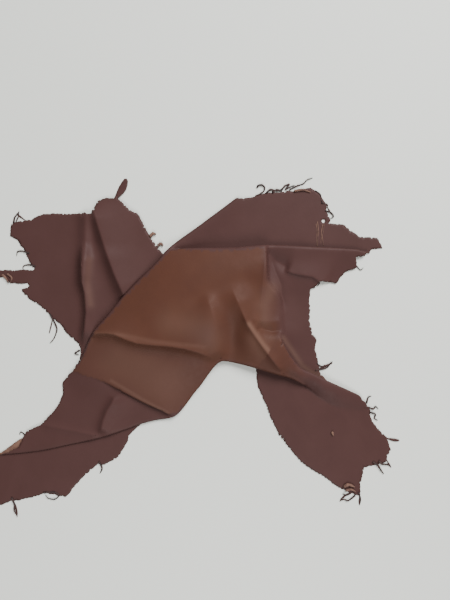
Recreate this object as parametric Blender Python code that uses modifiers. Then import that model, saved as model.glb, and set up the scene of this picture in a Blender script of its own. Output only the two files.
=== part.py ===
"""A small dyed goat hide thrown down on a flat surface.

The hide is one piece of leather. Its four leg and flank lobes lie flat, and the middle is
pushed into pleats, so that a broad band runs across it from the lower left to the upper right.

The sheet is worked out section by section. A section is a cut through the hide at one value
of x. Going down the section in -y, the leather runs through nine layers that are joined by
eight turns:

    upper left lobe, upper tuck, upper right lobe, middle tuck, band,
    cross tuck, strip, lower tuck, lower lobes

A tuck is the hidden part of a pleat. Where its depth is zero the pleat has run out and the
leather passes straight on. Every point of the flat leather has two coordinates: x, and the
length v along the section, measured so that v is -y on the band.
"""

import math
import random

import bmesh
import bpy
import numpy as np
from mathutils import Vector
from mathutils.geometry import delaunay_2d_cdt

MM = 0.001

# Driving sizes, in metres.
THICKNESS = 1.6 * MM
REST = THICKNESS / 2          # height of the leather's middle where it lies flat
STACK = 3.3 * MM              # least height between the middles of two stacked layers
CELL = 21 * MM                # spacing of the points inside the sheet
FOLD_STEP = 16 * MM           # spacing of the points along a turn
EDGE_STEP = 10 * MM           # spacing of the points along the cut edge
CREASE_STEP = 16 * MM         # spacing of the points along a crease
WIDE_FLANK = 19               # a flank wider than this, in mm, needs only one row of points
ROW_GAP = 4.2 * MM            # least gap between the rows of points along the creases
RAGGED = 1.1 * MM             # how far the cut edge wanders
SIGHT_HEIGHT = 996 * MM       # the tables below give each point as seen from this height
SIGHT_CENTRE = (95 * MM, 109 * MM)
LEATHER_COLOUR = (0.125, 0.05, 0.036, 1.0)
LEATHER_ROUGHNESS = 0.5
SEED = 7

# The layers, in the order in which a section passes through them.
UPPER_LEFT, UPPER_TUCK, UPPER_RIGHT, MIDDLE_TUCK, BAND, CROSS_TUCK, STRIP, LOWER_TUCK, LOWER = range(9)
TONGUE = "tongue"             # the band's right end, past the neck crease

# Lines where the leather turns, columns x and y in mm.
UPPER_EDGE = ((-520, -40), (-300, -38), (-250, -39), (-242, -38), (-234, -24), (-224, 1),
              (-216, 20), (-206, 38), (-178, 70), (-140, 116), (-105, 153), (-59, 199),
              (-40, 222), (42, 284), (125, 346), (160, 374), (240, 395), (520, 400))
MIDDLE_EDGE = ((-40, 222), (3, 227), (38, 228), (107, 229), (190, 235), (309, 230),
               (401, 224), (415, 221), (460, 219), (520, 218))
CROSS_EDGE = ((-520, -90), (-284, -60), (-248, -56), (-236, -61), (-215, -68), (-185, -78),
              (-158, -92), (-93, -126), (-26, -160), (0, -200), (120, -60), (150, -46), (170, -40),
              (190, -20), (207, 8), (223, 26), (230, 6), (247, -22), (269, -47), (298, -61),
              (330, -77), (376, -98), (408, -114), (424, -132), (440, -170), (520, -200))
LOWER_EDGE = ((-520, -252), (-422, -246), (-383, -243), (-325, -236), (-268, -224),
              (-192, -207), (-139, -190), (-100, -176), (-66, -167), (-26, -160), (32, -95),
              (91, -31), (130, -38), (164, -47), (210, -61), (243, -70), (275, -85),
              (298, -102), (321, -121), (353, -137), (388, -144), (424, -139), (520, -135))

# How deep each pleat goes behind its visible edge, columns x and depth in mm.
UPPER_DEPTH = ((-241, 14), (-222, 30), (-190, 42), (-126, 48), (-60, 42), (-35, 38),
               (-20, 50), (0, 60))
MIDDLE_DEPTH = ((-16, 0), (0, 5), (20, 12), (60, 17), (200, 18), (330, 14), (390, 8), (415, 4))
LOWER_LEFT_DEPTH = ((-155, 0), (-140, 6), (-90, 14), (-60, 8), (-42, 0))
RIDGE_DEPTH = ((222, 0), (232, 5), (243, 8), (270, 12), (300, 13), (350, 12), (400, 8), (424, 0))
LOWER_DEPTH = ((-440, 3), (-422, 4), (-400, 16), (-383, 27), (-368, 33), (-330, 32),
               (-120, 30), (-95, 34), (-55, 60), (130, 60), (158, 40), (200, 30),
               (240, 24), (262, 14), (276, 6), (284, 0))

# How round each turn is, in mm, in the order of the turns.
TURN_REACH = (5, 7, 4, 6, 5, 7, 7, 5)

# Heights of the leather's middle above the floor, columns x, y and height in mm.
BAND_HEIGHTS = (
    (-238, -45, 11), (-206, 38, 15), (-178, 70, 18), (-140, 116, 20), (-105, 153, 21),
    (-59, 199, 20), (-40, 222, 18), (3, 226, 20), (60, 228, 24), (107, 228, 25), (160, 232, 26),
    (190, 234, 26), (-150, 60, 26), (-100, 100, 32), (-50, 150, 32), (0, 180, 33), (60, 180, 37),
    (120, 180, 38), (170, 170, 37), (197, 190, 32), (-100, 40, 33), (-40, 90, 41), (30, 110, 44),
    (90, 100, 42), (140, 110, 40), (150, 150, 36), (50, 50, 45), (140, 20, 36), (178, 128, 33),
    (172, 60, 32), (213, 112, 20), (216, 70, 17), (190, 40, 26), (-180, 20, 23), (-120, 0, 28),
    (-40, -15, 31), (20, -25, 32), (-170, -40, 18), (-110, -60, 22), (-60, -70, 24), (0, -60, 24),
    (50, -50, 22), (-215, -64, 11), (-158, -90, 15), (-125, -107, 16), (-93, -124, 15.5),
    (-26, -158, 12.5), (-48, -146, 16), (32, -93, 13), (91, -32, 17), (130, -36, 17),
    (164, -45, 17), (210, -59, 16), (243, -68, 15), (223, 29, 28), (247, -22, 24), (269, -47, 19),
    (298, -61, 15), (330, -77, 12), (376, -98, 9), (408, -114, 6), (424, -132, 4), (262, -55, 23),
    (288, -70, 17), (318, -88, 14), (352, -106, 10.5), (386, -120, 6.5), (275, -85, 9),
    (286, -93, 5), (298, -102, 3), (321, -121, 1), (353, -137, 0.8), (388, -143, 0.8))
TONGUE_HEIGHTS = (
    (190, 235, 16), (240, 232, 15), (309, 230, 13), (401, 224, 10), (415, 221, 8),
    (230, 195, 10), (280, 195, 10), (340, 200, 8), (396, 206, 7.5), (371, 176, 3),
    (351, 150, 2), (312, 154, 6), (275, 168, 9), (236, 171, 9), (212, 150, 13),
    (222, 114, 10), (222, 60, 10), (225, 30, 12), (250, 120, 4), (290, 120, 2.2),
    (255, 60, 3.5), (288, 60, 2.2), (250, 0, 3), (300, 0, 2), (270, -50, 2.5), (325, -70, 2))
LOWER_LEFT_HEIGHTS = (
    (-241, -45, 10), (-215, -68, 10), (-185, -80, 10.5), (-158, -95, 9), (-93, -130, 7.5),
    (-40, -158, 8), (-26, -160, 12.5), (-422, -246, 6.5), (-325, -236, 7), (-268, -224, 7),
    (-192, -207, 7.5), (-139, -190, 7.5), (-100, -176, 7.5), (-66, -165, 7.5), (-270, -90, 3),
    (-280, -130, 3.5), (-240, -150, 6), (-190, -130, 7), (-140, -150, 7.5), (-320, -200, 5.5),
    (-385, -225, 6))

# Where the band drops to the neck, columns y and x in mm.
NECK_CREASE = ((-100, 222), (31, 222), (100, 221), (120, 216), (140, 200), (155, 192), (224, 190))
# How wide that drop is, columns y and width in mm.
NECK_WIDTH = ((-100, 26), (60, 16), (140, 12), (170, 6), (230, 5))

# Raised creases and troughs: layer, height, widths on the left and right of the path, how
# rounded the crest is (1 is a sharp crest, 2 a soft one), and the path.
CREASES = (
    (UPPER_LEFT, 9, 13, 15, 1.8, ((-226, 335), (-226, 250), (-229, 190), (-233, 130))),
    (UPPER_LEFT, 19, 75, 13, 1.3, ((-214, 350), (-206, 310), (-180, 225), (-160, 170),
                                   (-142, 130), (-122, 88))),
    (UPPER_LEFT, 17, 48, 6, 1.2, ((-231, 245), (-235, 190), (-234, 150), (-227, 125),
                                  (-224, 80), (-227, 45), (-234, -5))),
    (BAND, 11, 60, 7, 1.3, ((-229, -8), (-224, 8), (-214, 26), (-200, 32), (-180, 33), (-160, 30),
                           (-135, 19), (-109, 10), (-77, 6), (-38, 3), (3, -3), (36, -12),
                           (59, -22), (82, -34))),
    (BAND, 10, 26, 30, 1.1, ((104, 150), (118, 118), (148, 51), (182, 1), (217, -45), (244, -68))),
    (BAND, 10, 34, 17, 1.7, ((82, -40), (80, 10), (73, 50), (62, 90), (45, 130))),
    (BAND, 3, 24, 9, 1.4, ((150, 66), (176, 62), (200, 60), (232, 62))),
    (BAND, -8, 12, 10, 1.5, ((166, 48), (186, 41), (204, 37), (230, 40))),
    (BAND, 5, 22, 10, 1.1, ((189, 215), (184, 165), (181, 128), (174, 62))),
    (STRIP, 9, 24, 8, 1.4, ((-161, -106), (-161, -122), (-176, -146), (-185, -170), (-192, -203))),
    (STRIP, 3, 8, 9, 1.3, ((-340, -180), (-325, -178), (-261, -190), (-197, -204), (-180, -205))),
    (TONGUE, 5, 30, 5, 1.2, ((228, 180), (250, 171), (275, 166), (296, 163), (312, 152), (336, 144))),
    (TONGUE, -5, 14, 14, 1.6, ((190, 225), (212, 200), (245, 178))),
    (TONGUE, -4, 8, 9, 1.4, ((194, 218), (210, 176), (223, 146), (229, 79))),
)

# Round hollows and swells: layer, x, y, height and the two radii in mm.
SWELLS = (
    (BAND, 110, 26, -15, 33, 50),
    (BAND, 38, 102, -3, 26, 16),
)

# The cut edge, lobe by lobe: the layer that it is on, then its x and y in mm.
OUTLINE = (
    (UPPER_TUCK, ((-20, 190), (3, 206), (49, 247), (102, 305))),
    (UPPER_RIGHT, ((127, 342), (155, 346), (185, 353), (229, 358), (256, 360), (292, 368),
                   (307, 359), (319, 343), (327, 328), (328, 314), (338, 289), (332, 285),
                   (369, 282), (406, 254), (445, 252), (457, 228), (431, 225), (425, 215))),
    (BAND, ((418, 214), (415, 209), (396, 208), (398, 183), (371, 175), (351, 148), (312, 151),
            (292, 130), (289, 114), (291, 91), (288, 63), (294, 36), (305, 17), (301, -3),
            (308, -25), (312, -59), (325, -71), (332, -82))),
    (CROSS_TUCK, ((350, -93), (380, -106), (398, -113))),
    (STRIP, ((410, -120), (417, -125), (425, -136))),
    (LOWER, ((434, -171), (454, -194), (468, -206), (470, -220), (477, -237), (468, -250),
             (466, -263), (429, -273), (415, -276), (408, -300), (405, -316), (405, -342),
             (376, -331), (354, -319), (328, -302), (294, -281), (270, -263), (248, -239),
             (220, -200), (201, -164), (185, -123), (171, -89), (167, -56), (163, -36))),
    (LOWER_TUCK, ((145, -25), (118, -14), (91, -8), (38, -52), (0, -92), (-43, -130),
                  (-72, -150))),
    (LOWER, ((-95, -158), (-101, -178), (-122, -199), (-135, -227), (-146, -247), (-162, -260),
             (-185, -270), (-197, -266), (-233, -300), (-254, -324), (-270, -343), (-319, -335),
             (-378, -350), (-394, -350), (-415, -361), (-440, -366), (-462, -372), (-490, -350),
             (-500, -315), (-492, -285), (-470, -262), (-446, -250))),
    (LOWER_TUCK, ((-430, -244),)),
    (STRIP, ((-412, -243), (-405, -242), (-378, -229), (-368, -206), (-362, -194),
             (-330, -178), (-298, -148), (-285, -128), (-279, -108), (-277, -78), (-263, -62))),
    (BAND, ((-248, -48),)),
    (UPPER_TUCK, ((-245, -45),)),
    (UPPER_LEFT, ((-242, -42), (-238, -20), (-238, 1), (-247, 13), (-266, 31), (-289, 59),
                  (-319, 86), (-335, 100), (-353, 109), (-367, 123), (-371, 132), (-353, 141),
                  (-358, 147), (-397, 148), (-413, 163), (-440, 158), (-463, 164), (-450, 174),
                  (-422, 178), (-342, 178), (-351, 192), (-365, 223), (-381, 246), (-399, 256),
                  (-397, 285), (-374, 291), (-346, 296), (-323, 307), (-259, 307), (-213, 309),
                  (-206, 321), (-199, 337), (-181, 342), (-153, 343), (-139, 331), (-125, 315),
                  (-105, 307), (-100, 298), (-77, 252), (-59, 229), (-46, 213), (-34, 198))),
)

# Torn strips that hang on to the cut edge: layer, root x and y, tip x and y, width in mm.
SHREDS = (
    (UPPER_LEFT, -156, 343, -131, 388, 18),
    (UPPER_LEFT, -367, 298, -384, 308, 4),
    (UPPER_LEFT, -300, 70, -309, 32, 3),
    (UPPER_RIGHT, 327, 328, 341, 305, 4),
    (BAND, 308, -49, 342, -36, 4),
    (LOWER, 466, -208, 496, -214, 7),
    (LOWER, 468, -258, 477, -276, 4),
    (LOWER, 405, -340, 404, -362, 4),
    (LOWER, 384, -334, 360, -350, 4),
    (LOWER, -390, -351, -382, -386, 4),
)


def table_line(rows, at):
    """Read a two-column table at the given places, along a smooth line without overshoot."""
    places, values = (np.array(column, float) * MM for column in zip(*rows))
    steps = np.diff(places)
    slopes = np.diff(values) / steps
    tangents = np.zeros(len(values))
    same_way = slopes[:-1] * slopes[1:] > 0
    total = slopes[:-1] + slopes[1:]
    tangents[1:-1][same_way] = (2 * slopes[:-1] * slopes[1:])[same_way] / total[same_way]
    at = np.clip(at, places[0], places[-1])
    index = np.clip(np.searchsorted(places, at, side="right") - 1, 0, len(steps) - 1)
    step = steps[index]
    t = (at - places[index]) / step
    return ((1 + 2 * t) * (1 - t) ** 2 * values[index]
            + t * (1 - t) ** 2 * step * tangents[index]
            + t * t * (3 - 2 * t) * values[index + 1]
            + t * t * (t - 1) * step * tangents[index + 1])


def ease(t):
    """Go from 0 to 1 with level ends."""
    t = np.clip(t, 0.0, 1.0)
    return t * t * (3 - 2 * t)


class HeightMap:
    """A smooth surface through a short table of heights, bent like a thin plate."""

    def __init__(self, rows):
        self.points = np.array([row[:2] for row in rows], float) * MM
        heights = np.array([row[2] for row in rows], float) * MM
        count = len(rows)
        matrix = np.zeros((count + 3, count + 3))
        matrix[:count, :count] = self.bend(self.points)
        matrix[:count, count] = 1
        matrix[:count, count + 1:] = self.points
        matrix[count:, :count] = matrix[:count, count:].T
        self.weights = np.linalg.solve(matrix, np.append(heights, (0, 0, 0)))

    def bend(self, at):
        apart = at[:, None, :] - self.points[None, :, :]
        square = np.maximum((apart ** 2).sum(axis=2), 1e-12)
        return 0.5 * square * np.log(square)

    def __call__(self, x, y):
        at = np.stack((x, y), axis=1)
        flat_part = self.weights[-3] + at @ self.weights[-2:]
        return self.bend(at) @ self.weights[:-3] + flat_part


band_height = HeightMap(BAND_HEIGHTS)
tongue_height = HeightMap(TONGUE_HEIGHTS)
lower_left_height = HeightMap(LOWER_LEFT_HEIGHTS)


def crease_height(x, y, height, left, right, rounding, path):
    """Height that one crease adds: a soft ridge along a path, which fades at its ends."""
    path = np.array(path, float) * MM
    lengths = np.linalg.norm(np.diff(path, axis=0), axis=1)
    starts = np.concatenate(([0.0], np.cumsum(lengths)))
    aways, sides, alongs = [], [], []
    for index, length in enumerate(lengths):
        run = (path[index + 1] - path[index]) / length
        dx = x - path[index][0]
        dy = y - path[index][1]
        t = np.clip(dx * run[0] + dy * run[1], 0, length)
        aways.append(np.hypot(dx - t * run[0], dy - t * run[1]))
        sides.append(run[0] * dy - run[1] * dx)
        alongs.append(starts[index] + t)
    aways = np.array(aways)
    nearest = aways.min(axis=0)
    side = np.take_along_axis(np.array(sides), aways.argmin(axis=0)[None], axis=0)[0]
    # The place along the path is shared between the pieces, so that it has no jump at a bend.
    shares = np.exp((nearest - aways) / (6 * MM))
    along = (shares * np.array(alongs)).sum(axis=0) / shares.sum(axis=0)
    width = np.where(side > 0, left, right) * MM
    fade = ease(along / (0.2 * starts[-1])) * ease((starts[-1] - along) / (0.2 * starts[-1]))
    return height * MM * fade * np.exp(-(nearest / width) ** rounding)


def relief(layer, x, y):
    """Height that the creases and swells of one layer add to it."""
    added = np.zeros(len(x))
    for owner, *crease in CREASES:
        if owner == layer:
            added += crease_height(x, y, *crease)
    for owner, centre_x, centre_y, height, radius_x, radius_y in SWELLS:
        if owner == layer:
            square = ((x / MM - centre_x) / radius_x) ** 2 + ((y / MM - centre_y) / radius_y) ** 2
            added += height * MM * np.exp(-square)
    return added


def upper_left_z(x, y):
    covered = ease((table_line(UPPER_EDGE, x) + 6 * MM - y) / (24 * MM))
    return REST + relief(UPPER_LEFT, x, y) * (1 - 0.85 * covered)


def flat_lobe_z(x, y):
    """The upper right lobe lies flat, lifted along its fold by the tuck beneath it."""
    lift = table_line(((-40, 13), (0, 10), (49, 7), (102, 5.5), (130, 4.5), (165, 1), (220, 0)), x)
    away = np.maximum(table_line(UPPER_EDGE, x) - y, 0)
    return REST + lift * np.exp(-(away / (45 * MM)) ** 2)


def band_z(x, y):
    """The band and the tongue, kept clear of the lobes and tucks that they lie on."""
    drop = table_line(NECK_CREASE, y)
    on_neck = ease((x - drop) / table_line(NECK_WIDTH, y) + 0.25)
    band = band_height(x, y) + relief(BAND, x, y)
    tongue = tongue_height(x, y) + relief(TONGUE, x, y)
    band = band * (1 - on_neck) + tongue * on_neck
    upper = table_line(UPPER_EDGE, x)
    over_left = ease((y - upper + table_line(UPPER_DEPTH, x)) / (10 * MM)) * (x < -30 * MM)
    middle = np.minimum(table_line(MIDDLE_EDGE, x), upper)
    over_right = ease((y - middle + table_line(MIDDLE_DEPTH, x) + 3 * MM) / (6 * MM))
    over_right *= ease((x + 30 * MM) / (20 * MM))
    band = np.maximum(band, over_left * (upper_left_z(x, y) + 2 * STACK))
    return np.maximum(np.maximum(band, over_right * (flat_lobe_z(x, y) + 2 * STACK)), 1.5 * REST)


def upper_right_z(x, y):
    """The upper right lobe, which starts as the band's own edge where the pleat runs out."""
    from_band = ease((x + 42 * MM) / (26 * MM))
    return band_z(x, y) * (1 - from_band) + flat_lobe_z(x, y) * from_band


def strip_z(x, y):
    left = lower_left_height(x, y) + relief(STRIP, x, y)
    right = band_height(x, y) + relief(BAND, x, y)
    return np.maximum(np.where(x < -26 * MM, left, right), 1.5 * REST)


def lower_z(x, y):
    return np.full(len(x), REST)


def upper_tuck_z(x, y):
    under_band = (upper_left_z(x, y) + band_z(x, y)) / 2
    on_floor = ease((x + 32 * MM) / (28 * MM))
    return under_band * (1 - on_floor) + REST * on_floor


def middle_tuck_z(x, y):
    return (upper_right_z(x, y) + band_z(x, y)) / 2


def cross_tuck_z(x, y):
    return (band_z(x, y) + strip_z(x, y)) / 2


def lower_tuck_z(x, y):
    return 0.55 * REST + 0.45 * strip_z(x, y)


LAYER_Z = (upper_left_z, upper_tuck_z, upper_right_z, middle_tuck_z, band_z,
           cross_tuck_z, strip_z, lower_tuck_z, lower_z)


class Section:
    """The turns of the sections at the given values of x, and the lengths between them."""

    def __init__(self, x):
        self.x = x
        upper_depth = table_line(UPPER_DEPTH, x)
        middle_depth = table_line(MIDDLE_DEPTH, x)
        left_depth = table_line(LOWER_LEFT_DEPTH, x)
        ridge_depth = table_line(RIDGE_DEPTH, x)
        lower_depth = table_line(LOWER_DEPTH, x)
        cross_depth = left_depth + ridge_depth
        depths = (upper_depth, upper_depth, middle_depth, middle_depth,
                  cross_depth, cross_depth, lower_depth, lower_depth)
        self.reach = np.array([np.minimum(reach * MM, 0.38 * depth)
                               for reach, depth in zip(TURN_REACH, depths)])
        upper = table_line(UPPER_EDGE, x)
        middle = np.where(x < -40 * MM, upper, table_line(MIDDLE_EDGE, x))
        middle = np.minimum(middle, upper - self.reach[1] + self.reach[3])
        lower = table_line(LOWER_EDGE, x)
        cross = np.maximum(table_line(CROSS_EDGE, x), lower + self.reach[6])
        lines = (upper - upper_depth, upper, middle - middle_depth, middle,
                 cross - ridge_depth, cross + left_depth, lower, lower + lower_depth)
        self.points_up = np.array([-1, 1] * 4)[:, None]
        self.turn = np.array(lines) - self.points_up * self.reach
        # Where a turn has no depth its length is only the height that it climbs.
        self.before_z = np.array([LAYER_Z[k](x, self.turn[k]) for k in range(8)])
        self.after_z = np.array([LAYER_Z[k + 1](x, self.turn[k]) for k in range(8)])
        self.arc = np.maximum(math.pi * self.reach, np.abs(self.before_z - self.after_z))
        runs = np.maximum(np.abs(np.diff(self.turn, axis=0)), 0)
        self.start = np.zeros((8, len(x)))
        self.end = np.zeros((8, len(x)))
        self.end[3] = -self.turn[3]
        self.start[3] = self.end[3] - self.arc[3]
        for k in (4, 5, 6, 7):
            self.start[k] = self.end[k - 1] + runs[k - 1]
            self.end[k] = self.start[k] + self.arc[k]
        for k in (2, 1, 0):
            self.end[k] = self.start[k + 1] - runs[k]
            self.start[k] = self.end[k] - self.arc[k]

    def length_at(self, layer, y):
        """The length v along the section of the place at height y in the photo on a layer."""
        if layer == UPPER_LEFT:
            return self.start[0] - (y - self.turn[0])
        step = y - self.turn[layer - 1]
        return self.end[layer - 1] + (step if layer % 2 else -step)

    def place(self, v):
        """The x, y, z of the points that lie at length v along these sections."""
        y = self.turn[0] + (self.start[0] - v)
        z = np.zeros(len(v))
        passed = [v >= self.end[k] for k in range(8)]
        for k in range(8):
            step = v - self.end[k]
            next_y = self.turn[k] + (step if k % 2 == 0 else -step)
            y = np.where(passed[k], next_y, y)
        layer = sum(mask.astype(int) for mask in passed)
        for index in range(9):
            mask = layer == index
            if mask.any():
                z[mask] = LAYER_Z[index](self.x[mask], y[mask])
        for k in range(8):
            turning = (v > self.start[k]) & (v < self.end[k])
            angle = math.pi * (v - self.start[k]) / np.maximum(self.arc[k], 1e-9)
            turned_y = self.turn[k] + self.points_up[k] * self.reach[k] * np.sin(angle)
            half_rise = (self.before_z[k] - self.after_z[k]) / 2
            middle_z = (self.before_z[k] + self.after_z[k]) / 2
            y = np.where(turning, turned_y, y)
            z = np.where(turning, middle_z + half_rise * np.cos(angle), z)
        # A raised point looks further from the middle of the view than it is.
        shrink = 1 - z / SIGHT_HEIGHT
        x = SIGHT_CENTRE[0] + (self.x - SIGHT_CENTRE[0]) * shrink
        y = SIGHT_CENTRE[1] + (y - SIGHT_CENTRE[1]) * shrink
        return np.stack((x, y, z), axis=1)


def flat_points(layer, places):
    """The flat leather's coordinates of places on one layer, given by x and y in mm."""
    places = np.array(places, float) * MM
    lengths = Section(places[:, 0]).length_at(layer, places[:, 1])
    return np.stack((places[:, 0], lengths), axis=1)


def refined(rows):
    """Rows of x and y with more places put between them, all on the same layer."""
    rows = np.array(rows, float)
    places = []
    for a, b in zip(rows, rows[1:]):
        pieces = max(1, round(np.linalg.norm(b - a) * MM / EDGE_STEP))
        places += [a + (b - a) * index / pieces for index in range(pieces)]
    return places + [rows[-1]]


def cut_edge():
    """The cut edge of the flat leather, with its small wander and its torn strips."""
    corners = np.concatenate([flat_points(layer, refined(rows)) for layer, rows in OUTLINE])
    rng = random.Random(SEED)
    edge = []
    for a, b in zip(corners, np.roll(corners, -1, axis=0)):
        length = np.linalg.norm(b - a)
        pieces = max(1, round(length / EDGE_STEP))
        outward = np.array((b[1] - a[1], a[0] - b[0])) / length
        for index in range(pieces):
            wander = rng.uniform(-RAGGED, RAGGED)
            edge.append(a + (b - a) * index / pieces + outward * wander)
    for layer, root_x, root_y, tip_x, tip_y, width in SHREDS:
        root, tip = flat_points(layer, ((root_x, root_y), (tip_x, tip_y)))
        nearest = int(np.argmin([np.linalg.norm(point - root) for point in edge]))
        before, after = edge[nearest - 1], edge[(nearest + 1) % len(edge)]
        way = (after - before) / np.linalg.norm(after - before)
        half = way * width * MM / 2
        bend = np.array((-half[1], half[0])) * 0.8
        belly = edge[nearest] * 0.45 + tip * 0.55 + bend
        edge[nearest:nearest + 1] = [edge[nearest] - half, belly - half, tip - half * 0.4,
                                     tip + half * 0.4, belly + half, edge[nearest] + half]
    return np.array(edge)


def inside(points, edge):
    """Which flat points lie inside the cut edge."""
    found = np.zeros(len(points), bool)
    for a, b in zip(edge, np.roll(edge, -1, axis=0)):
        if a[1] == b[1]:
            continue
        crosses = (a[1] > points[:, 1]) != (b[1] > points[:, 1])
        where = a[0] + (points[:, 1] - a[1]) * (b[0] - a[0]) / (b[1] - a[1])
        found ^= crosses & (points[:, 0] < where)
    return found


def distance_to(points, edge):
    """Distance of each flat point from the cut edge."""
    nearest = np.full(len(points), np.inf)
    for a, b in zip(edge, np.roll(edge, -1, axis=0)):
        run = b - a
        t = np.clip(((points - a) @ run) / max(run @ run, 1e-12), 0, 1)
        nearest = np.minimum(nearest, np.linalg.norm(points - a - t[:, None] * run, axis=1))
    return nearest


def turn_rows(edge):
    """Rows of points that run along each turn, and the edges that join them."""
    fine = np.arange(edge[:, 0].min(), edge[:, 0].max(), 1 * MM)
    fine_section = Section(fine)
    points, links = [], []
    for k in range(8):
        slope = np.gradient(fine_section.turn[k], fine)
        travelled = np.concatenate(([0.0], np.cumsum(np.hypot(1, slope)[:-1] * np.diff(fine))))
        across = np.interp(np.arange(0, travelled[-1], FOLD_STEP), travelled, fine)
        section = Section(across)
        visible = k in (1, 3, 4, 5, 6)
        for share in ((0, 0.25, 0.5, 0.75, 1) if visible else (0, 0.5, 1)):
            needed = 9 * MM if share in (0.25, 0.75) else 3 * MM
            row = np.stack((across, section.start[k] + share * section.arc[k]), axis=1)
            kept = (section.arc[k] > needed) & inside(row, edge)
            kept &= distance_to(row, edge) > 0.3 * EDGE_STEP
            for index in np.flatnonzero(kept):
                if index and kept[index - 1]:
                    links.append((len(points) - 1, len(points)))
                points.append(row[index])
    return np.array(points), links


def crease_lines():
    """Layer, path and sideways shift of each row of points: first the crests, then the flanks."""
    lines = []
    for owner, _, left, right, _, path in CREASES:
        layer = BAND if owner == TONGUE else owner
        lines.append((layer, np.array(path, float), 0))
    for (_, _, left, right, _, _), (layer, path, _) in zip(CREASES, list(lines)):
        for width, way in ((left, 1), (right, -1)):
            shares = (1, 2.2) if width < WIDE_FLANK else (WIDE_FLANK / width,)
            lines += [(layer, path, way * share * width) for share in shares]
    return lines


def crease_rows(edge, taken):
    """Rows of points along the crest and the flanks of each crease, and the edges that join them."""
    points, links = [], []
    for layer, path, shift in crease_lines():
        places = []
        for a, b in zip(path, path[1:]):
            count = max(1, round(np.linalg.norm(b - a) * MM / CREASE_STEP))
            away = np.array((a[1] - b[1], b[0] - a[0])) / np.linalg.norm(b - a)
            places += [a + (b - a) * index / count + away * shift for index in range(count)]
        row = flat_points(layer, places)
        kept = inside(row, edge) & (distance_to(row, edge) > 0.4 * EDGE_STEP)
        for index in np.flatnonzero(kept):
            kept[index] = np.min(np.hypot(*(taken - row[index]).T)) > ROW_GAP
        for index in np.flatnonzero(kept):
            if index and kept[index - 1]:
                links.append((len(points) - 1, len(points)))
            points.append(row[index])
        taken = np.concatenate((taken, row[kept]))
    return np.array(points), links


def grid_points(edge):
    """A plain grid of points over the whole sheet, in staggered rows."""
    low, high = edge.min(axis=0), edge.max(axis=0)
    rows = []
    for row, v in enumerate(np.arange(low[1], high[1], CELL * math.sqrt(3) / 2)):
        across = np.arange(low[0] + (row % 2) * CELL / 2, high[0], CELL)
        rows.append(np.stack((across, np.full(len(across), v)), axis=1))
    return np.concatenate(rows)


def inner_points(edge):
    """All points inside the sheet, and the edges that hold the turns straight."""
    kept, links = turn_rows(edge)
    crests, crest_links = crease_rows(edge, kept)
    links += [(a + len(kept), b + len(kept)) for a, b in crest_links]
    kept = np.concatenate((kept, crests))
    grid = grid_points(edge)
    grid = grid[inside(grid, edge)]
    grid = grid[distance_to(grid, edge) > 0.3 * EDGE_STEP]
    free = np.array([np.min(np.hypot(*(kept - point).T)) > 0.5 * CELL for point in grid])
    return np.concatenate((kept, grid[free])), links


def flat_mesh(edge, inner, links):
    """Triangulate the flat leather, and drop the triangles outside its cut edge."""
    count = len(edge)
    points = [Vector(point) for point in np.concatenate((edge, inner))]
    held = [(index, (index + 1) % count) for index in range(count)]
    held += [(a + count, b + count) for a, b in links]
    points, _, faces, _, _, _ = delaunay_2d_cdt(points, held, [], 0, 1e-6)
    points = np.array([tuple(point) for point in points])
    faces = np.array(faces)
    middles = points[faces].mean(axis=1)
    return points, faces[inside(middles, edge)]


def make_hide(collection):
    edge = cut_edge()
    points, faces = flat_mesh(edge, *inner_points(edge))
    placed = Section(points[:, 0]).place(points[:, 1])
    # The part's origin is on the floor, under the middle of the hide.
    placed[:, :2] -= (placed.min(axis=0) + placed.max(axis=0))[:2] / 2
    mesh = bpy.data.meshes.new("hide")
    mesh.from_pydata(placed.tolist(), [], faces.tolist())
    bm = bmesh.new()
    bm.from_mesh(mesh)
    loose = [vertex for vertex in bm.verts if not vertex.link_faces]
    bmesh.ops.delete(bm, geom=loose, context="VERTS")
    bmesh.ops.recalc_face_normals(bm, faces=bm.faces)
    bm.to_mesh(mesh)
    bm.free()
    hide = bpy.data.objects.new("hide", mesh)
    collection.objects.link(hide)
    shell = hide.modifiers.new("thickness", "SOLIDIFY")
    shell.thickness = THICKNESS
    shell.offset = 0.0
    shell.use_even_offset = False
    return hide


def leather():
    material = bpy.data.materials.new("dyed_leather")
    material.use_nodes = True
    shader = material.node_tree.nodes["Principled BSDF"]
    shader.inputs["Base Color"].default_value = LEATHER_COLOUR
    shader.inputs["Roughness"].default_value = LEATHER_ROUGHNESS
    shader.inputs["Metallic"].default_value = 0.0
    return material


def main():
    for obj in list(bpy.data.objects):
        bpy.data.objects.remove(obj, do_unlink=True)
    collection = bpy.data.collections.new("leather_hide")
    bpy.context.scene.collection.children.link(collection)
    hide = make_hide(collection)
    hide.data.materials.append(leather())
    hide.data.shade_smooth()


main()
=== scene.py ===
# %% [markdown]
# # A small leather hide, thrown down
#
# The real object is one dyed goat skin with its edge left untrimmed. It lies on a flat surface,
# and its middle is pushed into pleats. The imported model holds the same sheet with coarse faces.
# This script makes the fine sheet in the same place, with the grain, the flesh side, the raw
# edge and the torn threads.

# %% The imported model
import math
import random

import bmesh
import bpy
import numpy as np
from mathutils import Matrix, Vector
from mathutils.geometry import delaunay_2d_cdt


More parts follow.
